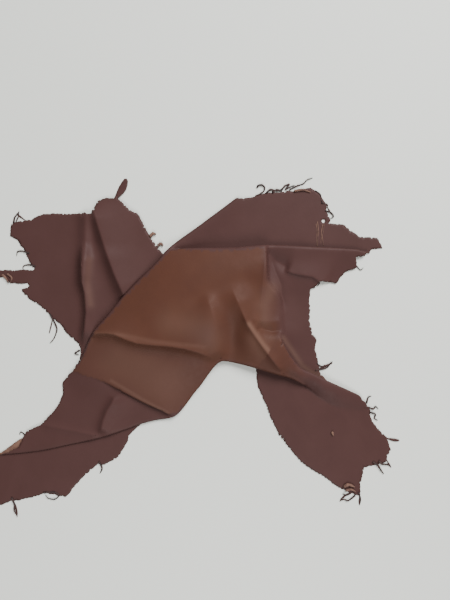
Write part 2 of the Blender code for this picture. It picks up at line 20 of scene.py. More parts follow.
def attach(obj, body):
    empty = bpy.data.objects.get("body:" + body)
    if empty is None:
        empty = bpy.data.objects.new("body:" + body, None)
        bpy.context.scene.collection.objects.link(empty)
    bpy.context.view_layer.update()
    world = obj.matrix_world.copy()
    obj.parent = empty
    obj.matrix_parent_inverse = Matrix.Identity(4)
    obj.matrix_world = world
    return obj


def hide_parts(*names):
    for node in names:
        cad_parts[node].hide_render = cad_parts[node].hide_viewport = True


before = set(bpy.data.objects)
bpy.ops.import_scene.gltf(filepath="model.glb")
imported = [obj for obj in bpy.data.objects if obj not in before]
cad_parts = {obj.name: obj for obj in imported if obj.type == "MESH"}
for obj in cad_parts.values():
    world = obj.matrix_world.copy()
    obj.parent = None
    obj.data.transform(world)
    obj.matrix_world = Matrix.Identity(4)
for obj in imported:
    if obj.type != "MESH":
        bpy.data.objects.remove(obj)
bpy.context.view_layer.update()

# %% Driving sizes
MM = 0.001
THICKNESS = 1.5 * MM
REST = 0.8 * MM               # height of the leather's middle where it lies flat
STACK = 3.3 * MM              # least height between the middles of two stacked layers
CELL = 4.2 * MM               # spacing of the points inside the sheet
FOLD_STEP = 5 * MM            # spacing of the points along a turn
EDGE_STEP = 2.6 * MM          # spacing of the points along the cut edge
SIGHT_HEIGHT = 996 * MM       # the tables below give each point as seen from this height
SIGHT_CENTRE = (95 * MM, 109 * MM)
ORIGIN = (-1.73 * MM, 1.1 * MM)   # the middle of the hide in the tables' own coordinates
rng = random.Random(7)        # the one source of everything that is random here
print(f"leather {THICKNESS / MM:.1f} mm thick, points every {CELL / MM:.1f} mm")

# %% [markdown]
# ## The folded sheet
#
# A pleated skin could be draped by a cloth simulation, but where its folds end up can't be
# chosen closely. So the sheet is worked out from sections instead. A section is a cut through
# the hide at one value of x. Going down it in -y, the leather runs through nine layers that are
# joined by eight turns, and a short table says where each turn lies. The tables are the ones
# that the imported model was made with, in millimetres.

# %% Layers and turns
# The layers, in the order in which a section passes through them.
UPPER_LEFT, UPPER_TUCK, UPPER_RIGHT, MIDDLE_TUCK, BAND, CROSS_TUCK, STRIP, LOWER_TUCK, LOWER = range(9)
TONGUE = "tongue"             # the band's right end, past the neck crease

# Lines where the leather turns, columns x and y in mm.
UPPER_EDGE = ((-520, -40), (-300, -38), (-250, -39), (-242, -38), (-234, -24), (-224, 1),
              (-216, 20), (-206, 38), (-178, 70), (-140, 116), (-105, 153), (-59, 199),
              (-40, 222), (42, 284), (125, 346), (160, 374), (240, 395), (520, 400))
MIDDLE_EDGE = ((-40, 222), (3, 227), (38, 228), (107, 229), (190, 235), (309, 230),
               (401, 224), (415, 221), (460, 219), (520, 218))
CROSS_EDGE = ((-520, -90), (-284, -60), (-248, -56), (-236, -61), (-215, -68), (-185, -78),
              (-158, -92), (-93, -126), (-26, -160), (0, -200), (120, -60), (150, -46), (170, -40),
              (190, -20), (207, 8), (223, 26), (230, 6), (247, -22), (269, -47), (298, -61),
              (330, -77), (376, -98), (408, -114), (424, -132), (440, -170), (520, -200))
LOWER_EDGE = ((-520, -252), (-422, -246), (-383, -243), (-325, -236), (-268, -224),
              (-192, -207), (-139, -190), (-100, -176), (-66, -167), (-26, -160), (32, -95),
              (91, -31), (130, -38), (164, -47), (210, -61), (243, -70), (275, -85),
              (298, -102), (321, -121), (353, -137), (388, -144), (424, -139), (520, -135))

# How deep each pleat goes behind its visible edge, columns x and depth in mm.
UPPER_DEPTH = ((-241, 14), (-222, 30), (-190, 42), (-126, 48), (-60, 42), (-35, 38),
               (-20, 50), (0, 60))
MIDDLE_DEPTH = ((-16, 0), (0, 5), (20, 12), (60, 17), (200, 18), (330, 14), (390, 8), (415, 4))
LOWER_LEFT_DEPTH = ((-155, 0), (-140, 6), (-90, 14), (-60, 8), (-42, 0))
RIDGE_DEPTH = ((222, 0), (232, 5), (243, 8), (270, 12), (300, 13), (350, 12), (400, 8), (424, 0))
LOWER_DEPTH = ((-440, 3), (-422, 4), (-400, 16), (-383, 27), (-368, 33), (-330, 32),
               (-120, 30), (-95, 34), (-55, 60), (130, 60), (158, 40), (200, 30),
               (240, 24), (262, 14), (276, 6), (284, 0))

# How round each turn is, in mm, in the order of the turns.
TURN_REACH = (5, 7, 4, 6, 5, 7, 7, 5)
TURNS = len(TURN_REACH)
TURN_SHARE = 0.38             # a turn is no rounder than this share of its pleat's depth
MIDDLE_START = -40 * MM       # the middle pleat starts at this x
print(TURNS, "turns join", TURNS + 1, "layers")

# %% Heights
# Heights of the leather's middle above the floor, columns x, y and height in mm.
BAND_HEIGHTS = (
    (-238, -45, 11), (-206, 38, 15), (-178, 70, 18), (-140, 116, 20), (-105, 153, 21),
    (-59, 199, 20), (-40, 222, 18), (3, 226, 20), (60, 228, 24), (107, 228, 25), (160, 232, 26),
    (190, 234, 26), (-150, 60, 26), (-100, 100, 32), (-50, 150, 32), (0, 180, 33), (60, 180, 37),
    (120, 180, 38), (170, 170, 37), (197, 190, 32), (-100, 40, 33), (-40, 90, 41), (30, 110, 44),
    (90, 100, 42), (140, 110, 40), (150, 150, 36), (50, 50, 45), (140, 20, 36), (178, 128, 33),
    (172, 60, 32), (213, 112, 20), (216, 70, 17), (190, 40, 26), (-180, 20, 23), (-120, 0, 28),
    (-40, -15, 31), (20, -25, 32), (-170, -40, 18), (-110, -60, 22), (-60, -70, 24), (0, -60, 24),
    (50, -50, 22), (-215, -64, 11), (-158, -90, 15), (-125, -107, 16), (-93, -124, 15.5),
    (-26, -158, 12.5), (-48, -146, 16), (32, -93, 13), (91, -32, 17), (130, -36, 17),
    (164, -45, 17), (210, -59, 16), (243, -68, 15), (223, 29, 28), (247, -22, 24), (269, -47, 19),
    (298, -61, 15), (330, -77, 12), (376, -98, 9), (408, -114, 6), (424, -132, 4), (262, -55, 23),
    (288, -70, 17), (318, -88, 14), (352, -106, 10.5), (386, -120, 6.5), (275, -85, 9),
    (286, -93, 5), (298, -102, 3), (321, -121, 1), (353, -137, 0.8), (388, -143, 0.8))
TONGUE_HEIGHTS = (
    (190, 235, 16), (240, 232, 15), (309, 230, 13), (401, 224, 10), (415, 221, 8),
    (230, 195, 10), (280, 195, 10), (340, 200, 8), (396, 206, 7.5), (371, 176, 3),
    (351, 150, 2), (312, 154, 6), (275, 168, 9), (236, 171, 9), (212, 150, 13),
    (222, 114, 10), (222, 60, 10), (225, 30, 12), (250, 120, 4), (290, 120, 2.2),
    (255, 60, 3.5), (288, 60, 2.2), (250, 0, 3), (300, 0, 2), (270, -50, 2.5), (325, -70, 2))
LOWER_LEFT_HEIGHTS = (
    (-241, -45, 10), (-215, -68, 10), (-185, -80, 10.5), (-158, -95, 9), (-93, -130, 7.5),
    (-40, -158, 8), (-26, -160, 12.5), (-422, -246, 6.5), (-325, -236, 7), (-268, -224, 7),
    (-192, -207, 7.5), (-139, -190, 7.5), (-100, -176, 7.5), (-66, -165, 7.5), (-270, -90, 3),
    (-280, -130, 3.5), (-240, -150, 6), (-190, -130, 7), (-140, -150, 7.5), (-320, -200, 5.5),
    (-385, -225, 6))

# Where the band drops to the neck, columns y and x in mm.
NECK_CREASE = ((-100, 222), (31, 222), (100, 221), (120, 216), (140, 200), (155, 192), (224, 190))
# How wide that drop is, columns y and width in mm.
NECK_WIDTH = ((-100, 26), (60, 16), (140, 12), (170, 6), (230, 5))
print(len(BAND_HEIGHTS) + len(TONGUE_HEIGHTS) + len(LOWER_LEFT_HEIGHTS), "heights")

# %% Creases and swells
# The crest along the band's lower left side, as x and y in mm.
FRONT_CREST = ((-229, -8), (-224, 8), (-214, 26), (-200, 32), (-180, 33), (-160, 30), (-135, 19),
               (-109, 10), (-77, 6), (-38, 3), (3, -3), (36, -12))

# Raised creases and troughs: layer, height, widths on the left and right of the path, how
# rounded the crest is (1 is a sharp crest, 2 a soft one), and the path.
CREASES = (
    (UPPER_LEFT, 9, 13, 15, 1.8, ((-226, 335), (-226, 250), (-229, 190), (-233, 130))),
    (UPPER_LEFT, 19, 75, 13, 1.3, ((-214, 350), (-206, 310), (-180, 225), (-160, 170),
        (-142, 130), (-122, 88))),
    (UPPER_LEFT, 17, 48, 6, 1.2, ((-231, 245), (-235, 190), (-234, 150), (-227, 125),
        (-224, 80), (-227, 45), (-234, -5))),
    (BAND, 11, 60, 7, 1.3, FRONT_CREST + ((59, -22), (82, -34))),
    (BAND, 10, 26, 30, 1.1, ((104, 150), (118, 118), (148, 51), (182, 1), (217, -45), (244, -68))),
    (BAND, 10, 34, 17, 1.7, ((82, -40), (80, 10), (73, 50), (62, 90), (45, 130))),
    (BAND, 3, 24, 9, 1.4, ((150, 66), (176, 62), (200, 60), (232, 62))),
    (BAND, -8, 12, 10, 1.5, ((166, 48), (186, 41), (204, 37), (230, 40))),
    (BAND, 5, 22, 10, 1.1, ((189, 215), (184, 165), (181, 128), (174, 62))),
    (STRIP, 9, 24, 8, 1.4, ((-161, -106), (-161, -122), (-176, -146), (-185, -170), (-192, -203))),
    (STRIP, 3, 8, 9, 1.3, ((-340, -180), (-325, -178), (-261, -190), (-197, -204), (-180, -205))),
    (TONGUE, 5, 30, 5, 1.2, ((228, 180), (250, 171), (275, 166), (296, 163), (312, 152), (336, 144))),
    (TONGUE, -5, 14, 14, 1.6, ((190, 225), (212, 200), (245, 178))),
    (TONGUE, -4, 8, 9, 1.4, ((194, 218), (210, 176), (223, 146), (229, 79))),
)

# Round hollows and swells: layer, x, y, height and the two radii in mm.
SWELLS = (
    (BAND, 110, 26, -15, 33, 50),
    (BAND, 38, 102, -3, 26, 16),
)

# %% Fine crests
# Narrow rolled lips along two of the creases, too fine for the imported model.
CREASES += (
    (BAND, 3, 6, 4, 1.4, FRONT_CREST),
    (BAND, 3, 7, 5, 1.3, ((128, 95), (148, 51), (182, 1), (217, -45), (240, -66))),
)
print(len(CREASES), "creases and", len(SWELLS), "swells")

# %% [markdown]
# ## The cut edge
#
# A skin keeps the outline of the animal: long lobes for the legs, hollow flanks, a narrow neck.
# The outline is given lobe by lobe, because each lobe is on its own layer of the pleats.

# %% Outline
# The cut edge, lobe by lobe: the layer that it is on, then its x and y in mm.
OUTLINE = (
    (UPPER_TUCK, ((-20, 190), (3, 206), (49, 247), (102, 305))),
    (UPPER_RIGHT, ((127, 342), (155, 346), (185, 353), (229, 358), (256, 360), (292, 368),
        (307, 359), (319, 343), (327, 328), (328, 314), (338, 289), (332, 285),
        (369, 282), (406, 254), (445, 252), (457, 228), (431, 225), (425, 215))),
    (BAND, ((418, 214), (415, 209), (396, 208), (398, 183), (371, 175), (351, 148), (312, 151),
        (292, 130), (289, 114), (291, 91), (288, 63), (294, 36), (305, 17), (301, -3),
        (308, -25), (312, -59), (325, -71), (332, -82))),
    (CROSS_TUCK, ((350, -93), (380, -106), (398, -113))),
    (STRIP, ((410, -120), (417, -125), (425, -136))),
    (LOWER, ((434, -171), (454, -194), (468, -206), (470, -220), (477, -237), (468, -250),
        (466, -263), (429, -273), (415, -276), (408, -300), (405, -316), (405, -342),
        (376, -331), (354, -319), (328, -302), (294, -281), (270, -263), (248, -239),
        (220, -200), (201, -164), (185, -123), (171, -89), (167, -56), (163, -36))),
    (LOWER_TUCK, ((145, -25), (118, -14), (91, -8), (38, -52), (0, -92), (-43, -130),
        (-72, -150))),
    (LOWER, ((-95, -158), (-101, -178), (-122, -199), (-135, -227), (-146, -247), (-162, -260),
        (-185, -270), (-197, -266), (-233, -300), (-254, -324), (-270, -343), (-319, -335),
        (-378, -350), (-394, -350), (-415, -361), (-440, -366), (-462, -372), (-490, -350),
        (-500, -315), (-492, -285), (-470, -262), (-446, -250))),
    (LOWER_TUCK, ((-430, -244),)),
    (STRIP, ((-412, -243), (-405, -242), (-378, -229), (-368, -206), (-362, -194),
        (-330, -178), (-298, -148), (-285, -128), (-279, -108), (-277, -78), (-263, -62))),
    (BAND, ((-248, -48),)),
    (UPPER_TUCK, ((-245, -45),)),
    (UPPER_LEFT, ((-242, -42), (-238, -20), (-238, 1), (-247, 13), (-266, 31), (-289, 59),
        (-319, 86), (-335, 100), (-353, 109), (-367, 123), (-371, 132), (-353, 141),
        (-358, 147), (-397, 148), (-413, 163), (-440, 158), (-463, 164), (-450, 174),
        (-422, 178), (-342, 178), (-351, 192), (-365, 223), (-381, 246), (-399, 256),
        (-397, 285), (-374, 291), (-346, 296), (-323, 307), (-259, 307), (-213, 309),
        (-206, 321), (-199, 337), (-181, 342), (-153, 343), (-139, 331), (-125, 315),
        (-105, 307), (-100, 298), (-77, 252), (-59, 229), (-46, 213), (-34, 198))),
)

# Torn strips that hang on to the cut edge: layer, root x and y, tip x and y, width in mm.
SHREDS = (
    (UPPER_LEFT, -156, 343, -131, 388, 18),
    (UPPER_LEFT, -367, 298, -384, 308, 4),
    (UPPER_LEFT, -300, 70, -309, 32, 3),
    (UPPER_RIGHT, 327, 328, 341, 305, 4),
    (BAND, 308, -49, 342, -36, 4),
    (LOWER, 466, -208, 496, -214, 7),
    (LOWER, 468, -258, 477, -276, 4),
    (LOWER, 405, -340, 404, -362, 4),
    (LOWER, 384, -334, 360, -350, 4),
    (LOWER, -390, -351, -382, -386, 4),
)
print(sum(len(rows) for _, rows in OUTLINE), "places on the outline,", len(SHREDS), "torn strips")

# %% [markdown]
# ## Heights from the tables
#
# Each table is read along a smooth line, and the heights are joined by a surface that bends
# like a thin plate. A sculpted mesh would do as well, but a table says plainly how high each
# place is, and it can be changed one place at a time.

# %% Smooth tables
def table_line(rows, at):
    """Read a two-column table at the given places, along a smooth line without overshoot."""
    places, values = (np.array(column, float) * MM for column in zip(*rows))
    steps = np.diff(places)
    slopes = np.diff(values) / steps
    tangents = np.zeros(len(values))
    same_way = slopes[:-1] * slopes[1:] > 0
    total = slopes[:-1] + slopes[1:]
    tangents[1:-1][same_way] = (2 * slopes[:-1] * slopes[1:])[same_way] / total[same_way]
    at = np.clip(at, places[0], places[-1])
    index = np.clip(np.searchsorted(places, at, side="right") - 1, 0, len(steps) - 1)
    step = steps[index]
    t = (at - places[index]) / step
    return ((1 + 2 * t) * (1 - t) ** 2 * values[index]
            + t * (1 - t) ** 2 * step * tangents[index]
            + t * t * (3 - 2 * t) * values[index + 1]
            + t * t * (t - 1) * step * tangents[index + 1])


def ease(t):
    """Go from 0 to 1 with level ends."""
    t = np.clip(t, 0.0, 1.0)
    return t * t * (3 - 2 * t)


# %% A thin plate through the heights
class HeightMap:
    """A smooth surface through a short table of heights, bent like a thin plate."""

    def __init__(self, rows):
        self.points = np.array([row[:2] for row in rows], float) * MM
        heights = np.array([row[2] for row in rows], float) * MM
        count = len(rows)
        matrix = np.zeros((count + 3, count + 3))
        matrix[:count, :count] = self.bend(self.points)
        matrix[:count, count] = 1
        matrix[:count, count + 1:] = self.points
        matrix[count:, :count] = matrix[:count, count:].T
        self.weights = np.linalg.solve(matrix, np.append(heights, (0, 0, 0)))

    def bend(self, at):
        apart = at[:, None, :] - self.points[None, :, :]
        square = np.maximum((apart ** 2).sum(axis=2), 1e-12)
        return 0.5 * square * np.log(square)

    def __call__(self, x, y):
        at = np.stack((x, y), axis=1)
        flat_part = self.weights[-3] + at @ self.weights[-2:]
        return self.bend(at) @ self.weights[:-3] + flat_part


band_height = HeightMap(BAND_HEIGHTS)
tongue_height = HeightMap(TONGUE_HEIGHTS)
lower_left_height = HeightMap(LOWER_LEFT_HEIGHTS)


# %% Creases on a layer
BEND_BLEND = 6 * MM           # how softly the place along a crease passes round its bends
CREASE_FADE = 0.2             # a crease fades out over this share of its length at each end


def crease_height(x, y, height, left, right, rounding, path):
    """Height that one crease adds: a soft ridge along a path, which fades at its ends."""
    path = np.array(path, float) * MM
    lengths = np.linalg.norm(np.diff(path, axis=0), axis=1)
    starts = np.concatenate(([0.0], np.cumsum(lengths)))
    aways, sides, alongs = [], [], []
    for index, length in enumerate(lengths):
        run = (path[index + 1] - path[index]) / length
        dx = x - path[index][0]
        dy = y - path[index][1]
        t = np.clip(dx * run[0] + dy * run[1], 0, length)
        aways.append(np.hypot(dx - t * run[0], dy - t * run[1]))
        sides.append(run[0] * dy - run[1] * dx)
        alongs.append(starts[index] + t)
    aways = np.array(aways)
    nearest = aways.min(axis=0)
    side = np.take_along_axis(np.array(sides), aways.argmin(axis=0)[None], axis=0)[0]
    # The place along the path is shared between the pieces, so that it has no jump at a bend.
    shares = np.exp((nearest - aways) / BEND_BLEND)
    along = (shares * np.array(alongs)).sum(axis=0) / shares.sum(axis=0)
    width = np.where(side > 0, left, right) * MM
    run_in = CREASE_FADE * starts[-1]
    fade = ease(along / run_in) * ease((starts[-1] - along) / run_in)
    return height * MM * fade * np.exp(-(nearest / width) ** rounding)


def relief(layer, x, y):
    """Height that the creases and swells of one layer add to it."""
    added = np.zeros(len(x))
    for owner, *crease in CREASES:
        if owner == layer:
            added += crease_height(x, y, *crease)
    for owner, centre_x, centre_y, height, radius_x, radius_y in SWELLS:
        if owner == layer:
            square = ((x / MM - centre_x) / radius_x) ** 2 + ((y / MM - centre_y) / radius_y) ** 2
            added += height * MM * np.exp(-square)
    return added


# %% Where one layer lies on another
COVER_START = 6 * MM          # the band presses on the upper left lobe from here above its edge
COVER_RUN = 24 * MM           # and in full this far below that
PRESSED = 0.85                # the share of the lobe's creases that it presses flat
# How high the tuck beneath it lifts the upper right lobe, columns x and height in mm.
LOBE_LIFT = ((-40, 13), (0, 10), (49, 7), (102, 5.5), (130, 4.5), (165, 1), (220, 0))
LIFT_REACH = 45 * MM          # how far from the fold that lift is felt
PART_X = -30 * MM             # the band lies on the left lobe up to this x, then on the right one,
PART_RUN = 20 * MM            # and over this run it comes to lie on that one in full
LEFT_RISE = 10 * MM           # how softly it rises over the edge of the left lobe's pleat,
RIGHT_RISE = 6 * MM           # and over that of the right one's,
RIGHT_MARGIN = 3 * MM         # where it starts to rise this far outside
NECK_EARLY = 0.25             # the drop to the neck starts this share of its width before its line
PLEAT_X = -42 * MM            # here the upper right lobe leaves the band's own edge,
PLEAT_RUN = 26 * MM           # and over this run it comes down
TUCK_X = -32 * MM             # here the upper tuck comes out from under the band,
TUCK_RUN = 28 * MM            # and over this run it comes down to the floor
STRIP_X = -26 * MM            # the lower left strip ends here, and past it the band's heights hold
TUCK_SHARE = 0.45             # the lower tuck's height, as a share of the strip's above it
LEAST_HEIGHT = 1.5 * REST     # the band and the strip lie no lower than this


# %% Height of each layer
def upper_left_z(x, y):
    covered = ease((table_line(UPPER_EDGE, x) + COVER_START - y) / COVER_RUN)
    return REST + relief(UPPER_LEFT, x, y) * (1 - PRESSED * covered)


def flat_lobe_z(x, y):
    """The upper right lobe lies flat, lifted along its fold by the tuck beneath it."""
    away = np.maximum(table_line(UPPER_EDGE, x) - y, 0)
    return REST + table_line(LOBE_LIFT, x) * np.exp(-(away / LIFT_REACH) ** 2)


def band_z(x, y):
    """The band and the tongue, kept clear of the lobes and tucks that they lie on."""
    drop = table_line(NECK_CREASE, y)
    on_neck = ease((x - drop) / table_line(NECK_WIDTH, y) + NECK_EARLY)
    band = band_height(x, y) + relief(BAND, x, y)
    tongue = tongue_height(x, y) + relief(TONGUE, x, y)
    band = band * (1 - on_neck) + tongue * on_neck
    upper = table_line(UPPER_EDGE, x)
    over_left = ease((y - upper + table_line(UPPER_DEPTH, x)) / LEFT_RISE) * (x < PART_X)
    middle = np.minimum(table_line(MIDDLE_EDGE, x), upper)
    over_right = ease((y - middle + table_line(MIDDLE_DEPTH, x) + RIGHT_MARGIN) / RIGHT_RISE)
    over_right *= ease((x - PART_X) / PART_RUN)
    band = np.maximum(band, over_left * (upper_left_z(x, y) + 2 * STACK))
    band = np.maximum(band, over_right * (flat_lobe_z(x, y) + 2 * STACK))
    return np.maximum(band, LEAST_HEIGHT)


def upper_right_z(x, y):
    """The upper right lobe, which starts as the band's own edge where the pleat runs out."""
    from_band = ease((x - PLEAT_X) / PLEAT_RUN)
    return band_z(x, y) * (1 - from_band) + flat_lobe_z(x, y) * from_band


def strip_z(x, y):
    left = lower_left_height(x, y) + relief(STRIP, x, y)
    right = band_height(x, y) + relief(BAND, x, y)
    return np.maximum(np.where(x < STRIP_X, left, right), LEAST_HEIGHT)


def lower_z(x, y):
    return np.full(len(x), REST)


def upper_tuck_z(x, y):
    under_band = (upper_left_z(x, y) + band_z(x, y)) / 2
    on_floor = ease((x - TUCK_X) / TUCK_RUN)
    return under_band * (1 - on_floor) + REST * on_floor


def middle_tuck_z(x, y):
    return (upper_right_z(x, y) + band_z(x, y)) / 2


def cross_tuck_z(x, y):
    return (band_z(x, y) + strip_z(x, y)) / 2


def lower_tuck_z(x, y):
    return (1 - TUCK_SHARE) * REST + TUCK_SHARE * strip_z(x, y)


LAYER_Z = (upper_left_z, upper_tuck_z, upper_right_z, middle_tuck_z, band_z,
           cross_tuck_z, strip_z, lower_tuck_z, lower_z)
knob_top = band_z(np.array([50 * MM]), np.array([50 * MM]))[0]
print(f"the knob on the band is {knob_top / MM:.0f} mm high")


# %% Sections
class Section:
    """The turns of the sections at the given values of x, and the lengths between them."""

    def __init__(self, x):
        self.x = x
        upper_depth = table_line(UPPER_DEPTH, x)
        middle_depth = table_line(MIDDLE_DEPTH, x)
        left_depth = table_line(LOWER_LEFT_DEPTH, x)
        ridge_depth = table_line(RIDGE_DEPTH, x)
        lower_depth = table_line(LOWER_DEPTH, x)
        cross_depth = left_depth + ridge_depth
        depths = (upper_depth, upper_depth, middle_depth, middle_depth,
                  cross_depth, cross_depth, lower_depth, lower_depth)
        self.reach = np.array([np.minimum(reach * MM, TURN_SHARE * depth)
                               for reach, depth in zip(TURN_REACH, depths)])
        upper = table_line(UPPER_EDGE, x)
        middle = np.where(x < MIDDLE_START, upper, table_line(MIDDLE_EDGE, x))
        middle = np.minimum(middle, upper - self.reach[1] + self.reach[3])
        lower = table_line(LOWER_EDGE, x)
        cross = np.maximum(table_line(CROSS_EDGE, x), lower + self.reach[6])
        lines = (upper - upper_depth, upper, middle - middle_depth, middle,
                 cross - ridge_depth, cross + left_depth, lower, lower + lower_depth)
        self.points_up = np.array([-1, 1] * 4)[:, None]
        self.turn = np.array(lines) - self.points_up * self.reach
        # Where a turn has no depth its length is only the height that it climbs.
        self.before_z = np.array([LAYER_Z[k](x, self.turn[k]) for k in range(TURNS)])
        self.after_z = np.array([LAYER_Z[k + 1](x, self.turn[k]) for k in range(TURNS)])
        self.arc = np.maximum(math.pi * self.reach, np.abs(self.before_z - self.after_z))
        runs = np.abs(np.diff(self.turn, axis=0))
        # The length v is -y on the band, which starts after turn 3.
        self.start = np.zeros((TURNS, len(x)))
        self.end = np.zeros((TURNS, len(x)))
        self.end[3] = -self.turn[3]
        self.start[3] = self.end[3] - self.arc[3]
        for k in (4, 5, 6, 7):
            self.start[k] = self.end[k - 1] + runs[k - 1]
            self.end[k] = self.start[k] + self.arc[k]
        for k in (2, 1, 0):
            self.end[k] = self.start[k + 1] - runs[k]
            self.start[k] = self.end[k] - self.arc[k]

    def length_at(self, layer, y):
        """The length v along the section of the place at height y in the photo on a layer."""
        if layer == UPPER_LEFT:
            return self.start[0] - (y - self.turn[0])
        step = y - self.turn[layer - 1]
        return self.end[layer - 1] + (step if layer % 2 else -step)

    def place(self, v):
        """The x, y, z of the points that lie at length v along these sections."""
        y = self.turn[0] + (self.start[0] - v)
        z = np.zeros(len(v))
        for k in range(TURNS):
            step = v - self.end[k]
            next_y = self.turn[k] + (step if k % 2 == 0 else -step)
            y = np.where(v >= self.end[k], next_y, y)
        layer = self.layer_of(v)
        for index in range(TURNS + 1):
            mask = layer == index
            if mask.any():
                z[mask] = LAYER_Z[index](self.x[mask], y[mask])
        for k in range(TURNS):
            turning = (v > self.start[k]) & (v < self.end[k])
            angle = math.pi * (v - self.start[k]) / np.maximum(self.arc[k], 1e-9)
            turned_y = self.turn[k] + self.points_up[k] * self.reach[k] * np.sin(angle)
            half_rise = (self.before_z[k] - self.after_z[k]) / 2
            middle_z = (self.before_z[k] + self.after_z[k]) / 2
            y = np.where(turning, turned_y, y)
            z = np.where(turning, middle_z + half_rise * np.cos(angle), z)
        # A raised point looks further from the middle of the view than it is.
        shrink = 1 - z / SIGHT_HEIGHT
        x = SIGHT_CENTRE[0] + (self.x - SIGHT_CENTRE[0]) * shrink
        y = SIGHT_CENTRE[1] + (y - SIGHT_CENTRE[1]) * shrink
        return np.stack((x, y, z), axis=1)

    def layer_of(self, v):
        """The layer that each point at length v lies on."""
        return sum((v >= self.end[k]).astype(int) for k in range(TURNS))

# %% [markdown]
# ## From the flat skin to the folded one
#
# The outline is first taken to the flat leather, where it is a plain polygon. There it gets its
# torn wander: two waves of seeded noise and a nick here and there, because the edge of a skin
# is pulled and cut by hand. The polygon is filled with points and triangulated flat, and only
# then is every point placed in the folds.

# %% Flat outline
def flat_points(layer, places):
    """The flat leather's coordinates of places on one layer, given by x and y in mm."""
    places = np.array(places, float) * MM
    lengths = Section(places[:, 0]).length_at(layer, places[:, 1])
    return np.stack((places[:, 0], lengths), axis=1)


def wander(count, knots):
    """A smooth random line from -1 to 1 with the given number of knots."""
    values = np.array([rng.uniform(-1, 1) for _ in range(max(knots, 2))])
    at = np.linspace(0, len(values) - 1, count)
    index = np.clip(at.astype(int), 0, len(values) - 2)
    share = ease(at - index)
    return values[index] * (1 - share) + values[index + 1] * share


def refined(rows):
    """Rows of x and y with more places put between them, all on the same layer."""
    rows = np.array(rows, float)
    places = []
    for a, b in zip(rows, rows[1:]):
        pieces = max(1, round(np.linalg.norm(b - a) * MM / EDGE_STEP))
        places += [a + (b - a) * index / pieces for index in range(pieces)]
    return places + [rows[-1]]


# %% The torn edge
SLOW_WANDER = 1.3 * MM        # how far the edge wanders in long waves,
KNOT_EVERY = 6                # with a knot for this many of its points
QUICK_WANDER = 0.8 * MM       # how far it wanders from point to point
NICK_DEPTH = 2.4 * MM
NICK_CHANCE = 0.07
STRIP_SHARES = (0.0, 0.2, 0.4, 0.6, 0.8, 0.95)   # where along a torn strip its sides are placed
STRIP_BOW = 0.25              # how far it bows aside, as a share of its width
STRIP_ROOT = 0.4              # how wide it is at its root, as a share of its belly
BELLY_SHIFT = 1.3             # above 1, its belly lies nearer to its tip


def torn_strip(edge, nearest, tip, width):
    """The sides and the tip of a strip that hangs on the edge. The width is in mm."""
    before, after = edge[nearest - 2], edge[(nearest + 2) % len(edge)]
    way = (after - before) / np.linalg.norm(after - before)
    half = width * MM / 2
    start = edge[nearest]
    across = np.array((start[1] - tip[1], tip[0] - start[0])) / np.linalg.norm(tip - start)
    across *= math.copysign(1, across @ way)
    left, right = [], []
    for share in STRIP_SHARES:
        bow = np.array((-way[1], way[0])) * math.sin(share * math.pi) * width * MM * STRIP_BOW
        middle = start * (1 - share) + tip * share + bow
        turned = way * (1 - share) + across * share
        belly = math.sin(math.pi * share ** BELLY_SHIFT)
        half_here = turned * half * (STRIP_ROOT + (1 - STRIP_ROOT) * belly)
        left.append(middle - half_here)
        right.append(middle + half_here)
    return left + [tip] + right[::-1]


def cut_edge():
    """The cut edge of the flat leather, torn and nicked, with its hanging strips."""
    corners = np.concatenate([flat_points(layer, refined(rows)) for layer, rows in OUTLINE])
    edge, ways = [], []
    for a, b in zip(corners, np.roll(corners, -1, axis=0)):
        length = np.linalg.norm(b - a)
        pieces = max(1, round(length / EDGE_STEP))
        for index in range(pieces):
            edge.append(a + (b - a) * index / pieces)
            ways.append(np.array((b[1] - a[1], a[0] - b[0])) / length)
    edge, ways = np.array(edge), np.array(ways)
    out = SLOW_WANDER * wander(len(edge), len(edge) // KNOT_EVERY)
    out += QUICK_WANDER * np.array([rng.uniform(-1, 1) for _ in edge])
    out -= NICK_DEPTH * np.array([rng.random() < NICK_CHANCE for _ in edge])
    edge = list(edge + ways * out[:, None])
    for layer, root_x, root_y, tip_x, tip_y, width in SHREDS:
        root, tip = flat_points(layer, ((root_x, root_y), (tip_x, tip_y)))
        nearest = int(np.argmin([np.linalg.norm(point - root) for point in edge]))
        edge[nearest:nearest + 1] = torn_strip(edge, nearest, tip, width)
    return np.array(edge)


edge = cut_edge()


# %% Points inside the outline
def inside(points, edge):
    """Which flat points lie inside the cut edge."""
    found = np.zeros(len(points), bool)
    for a, b in zip(edge, np.roll(edge, -1, axis=0)):
        if a[1] == b[1]:
            continue
        crosses = (a[1] > points[:, 1]) != (b[1] > points[:, 1])
        where = a[0] + (points[:, 1] - a[1]) * (b[0] - a[0]) / (b[1] - a[1])
        found ^= crosses & (points[:, 0] < where)
    return found


class Nearby:
    """Finds whether flat points lie close to points that are already there."""

    def __init__(self, points, reach):
        self.reach = reach
        self.cells = {}
        for point in points:
            self.add(point)

    def add(self, point):
        self.cells.setdefault(self.cell(point), []).append(point)

    def cell(self, point):
        return int(point[0] // self.reach), int(point[1] // self.reach)

    def taken(self, point):
        column, row = self.cell(point)
        for i in (-1, 0, 1):
            for j in (-1, 0, 1):
                for other in self.cells.get((column + i, row + j), ()):
                    if math.hypot(point[0] - other[0], point[1] - other[1]) < self.reach:
                        return True
        return False


# %% Rows along the turns and creases
ROWS_A_TURN = 7
LEAST_ARC = 6 * MM            # a turn shorter than this gets no rows
CREST_STEP = 3                # spacing of the points along a crease, in mm
CREASE_ROWS = (0, -2, 2, -4.2, 4.2, -7, 7)       # how far from its path its rows run, in mm


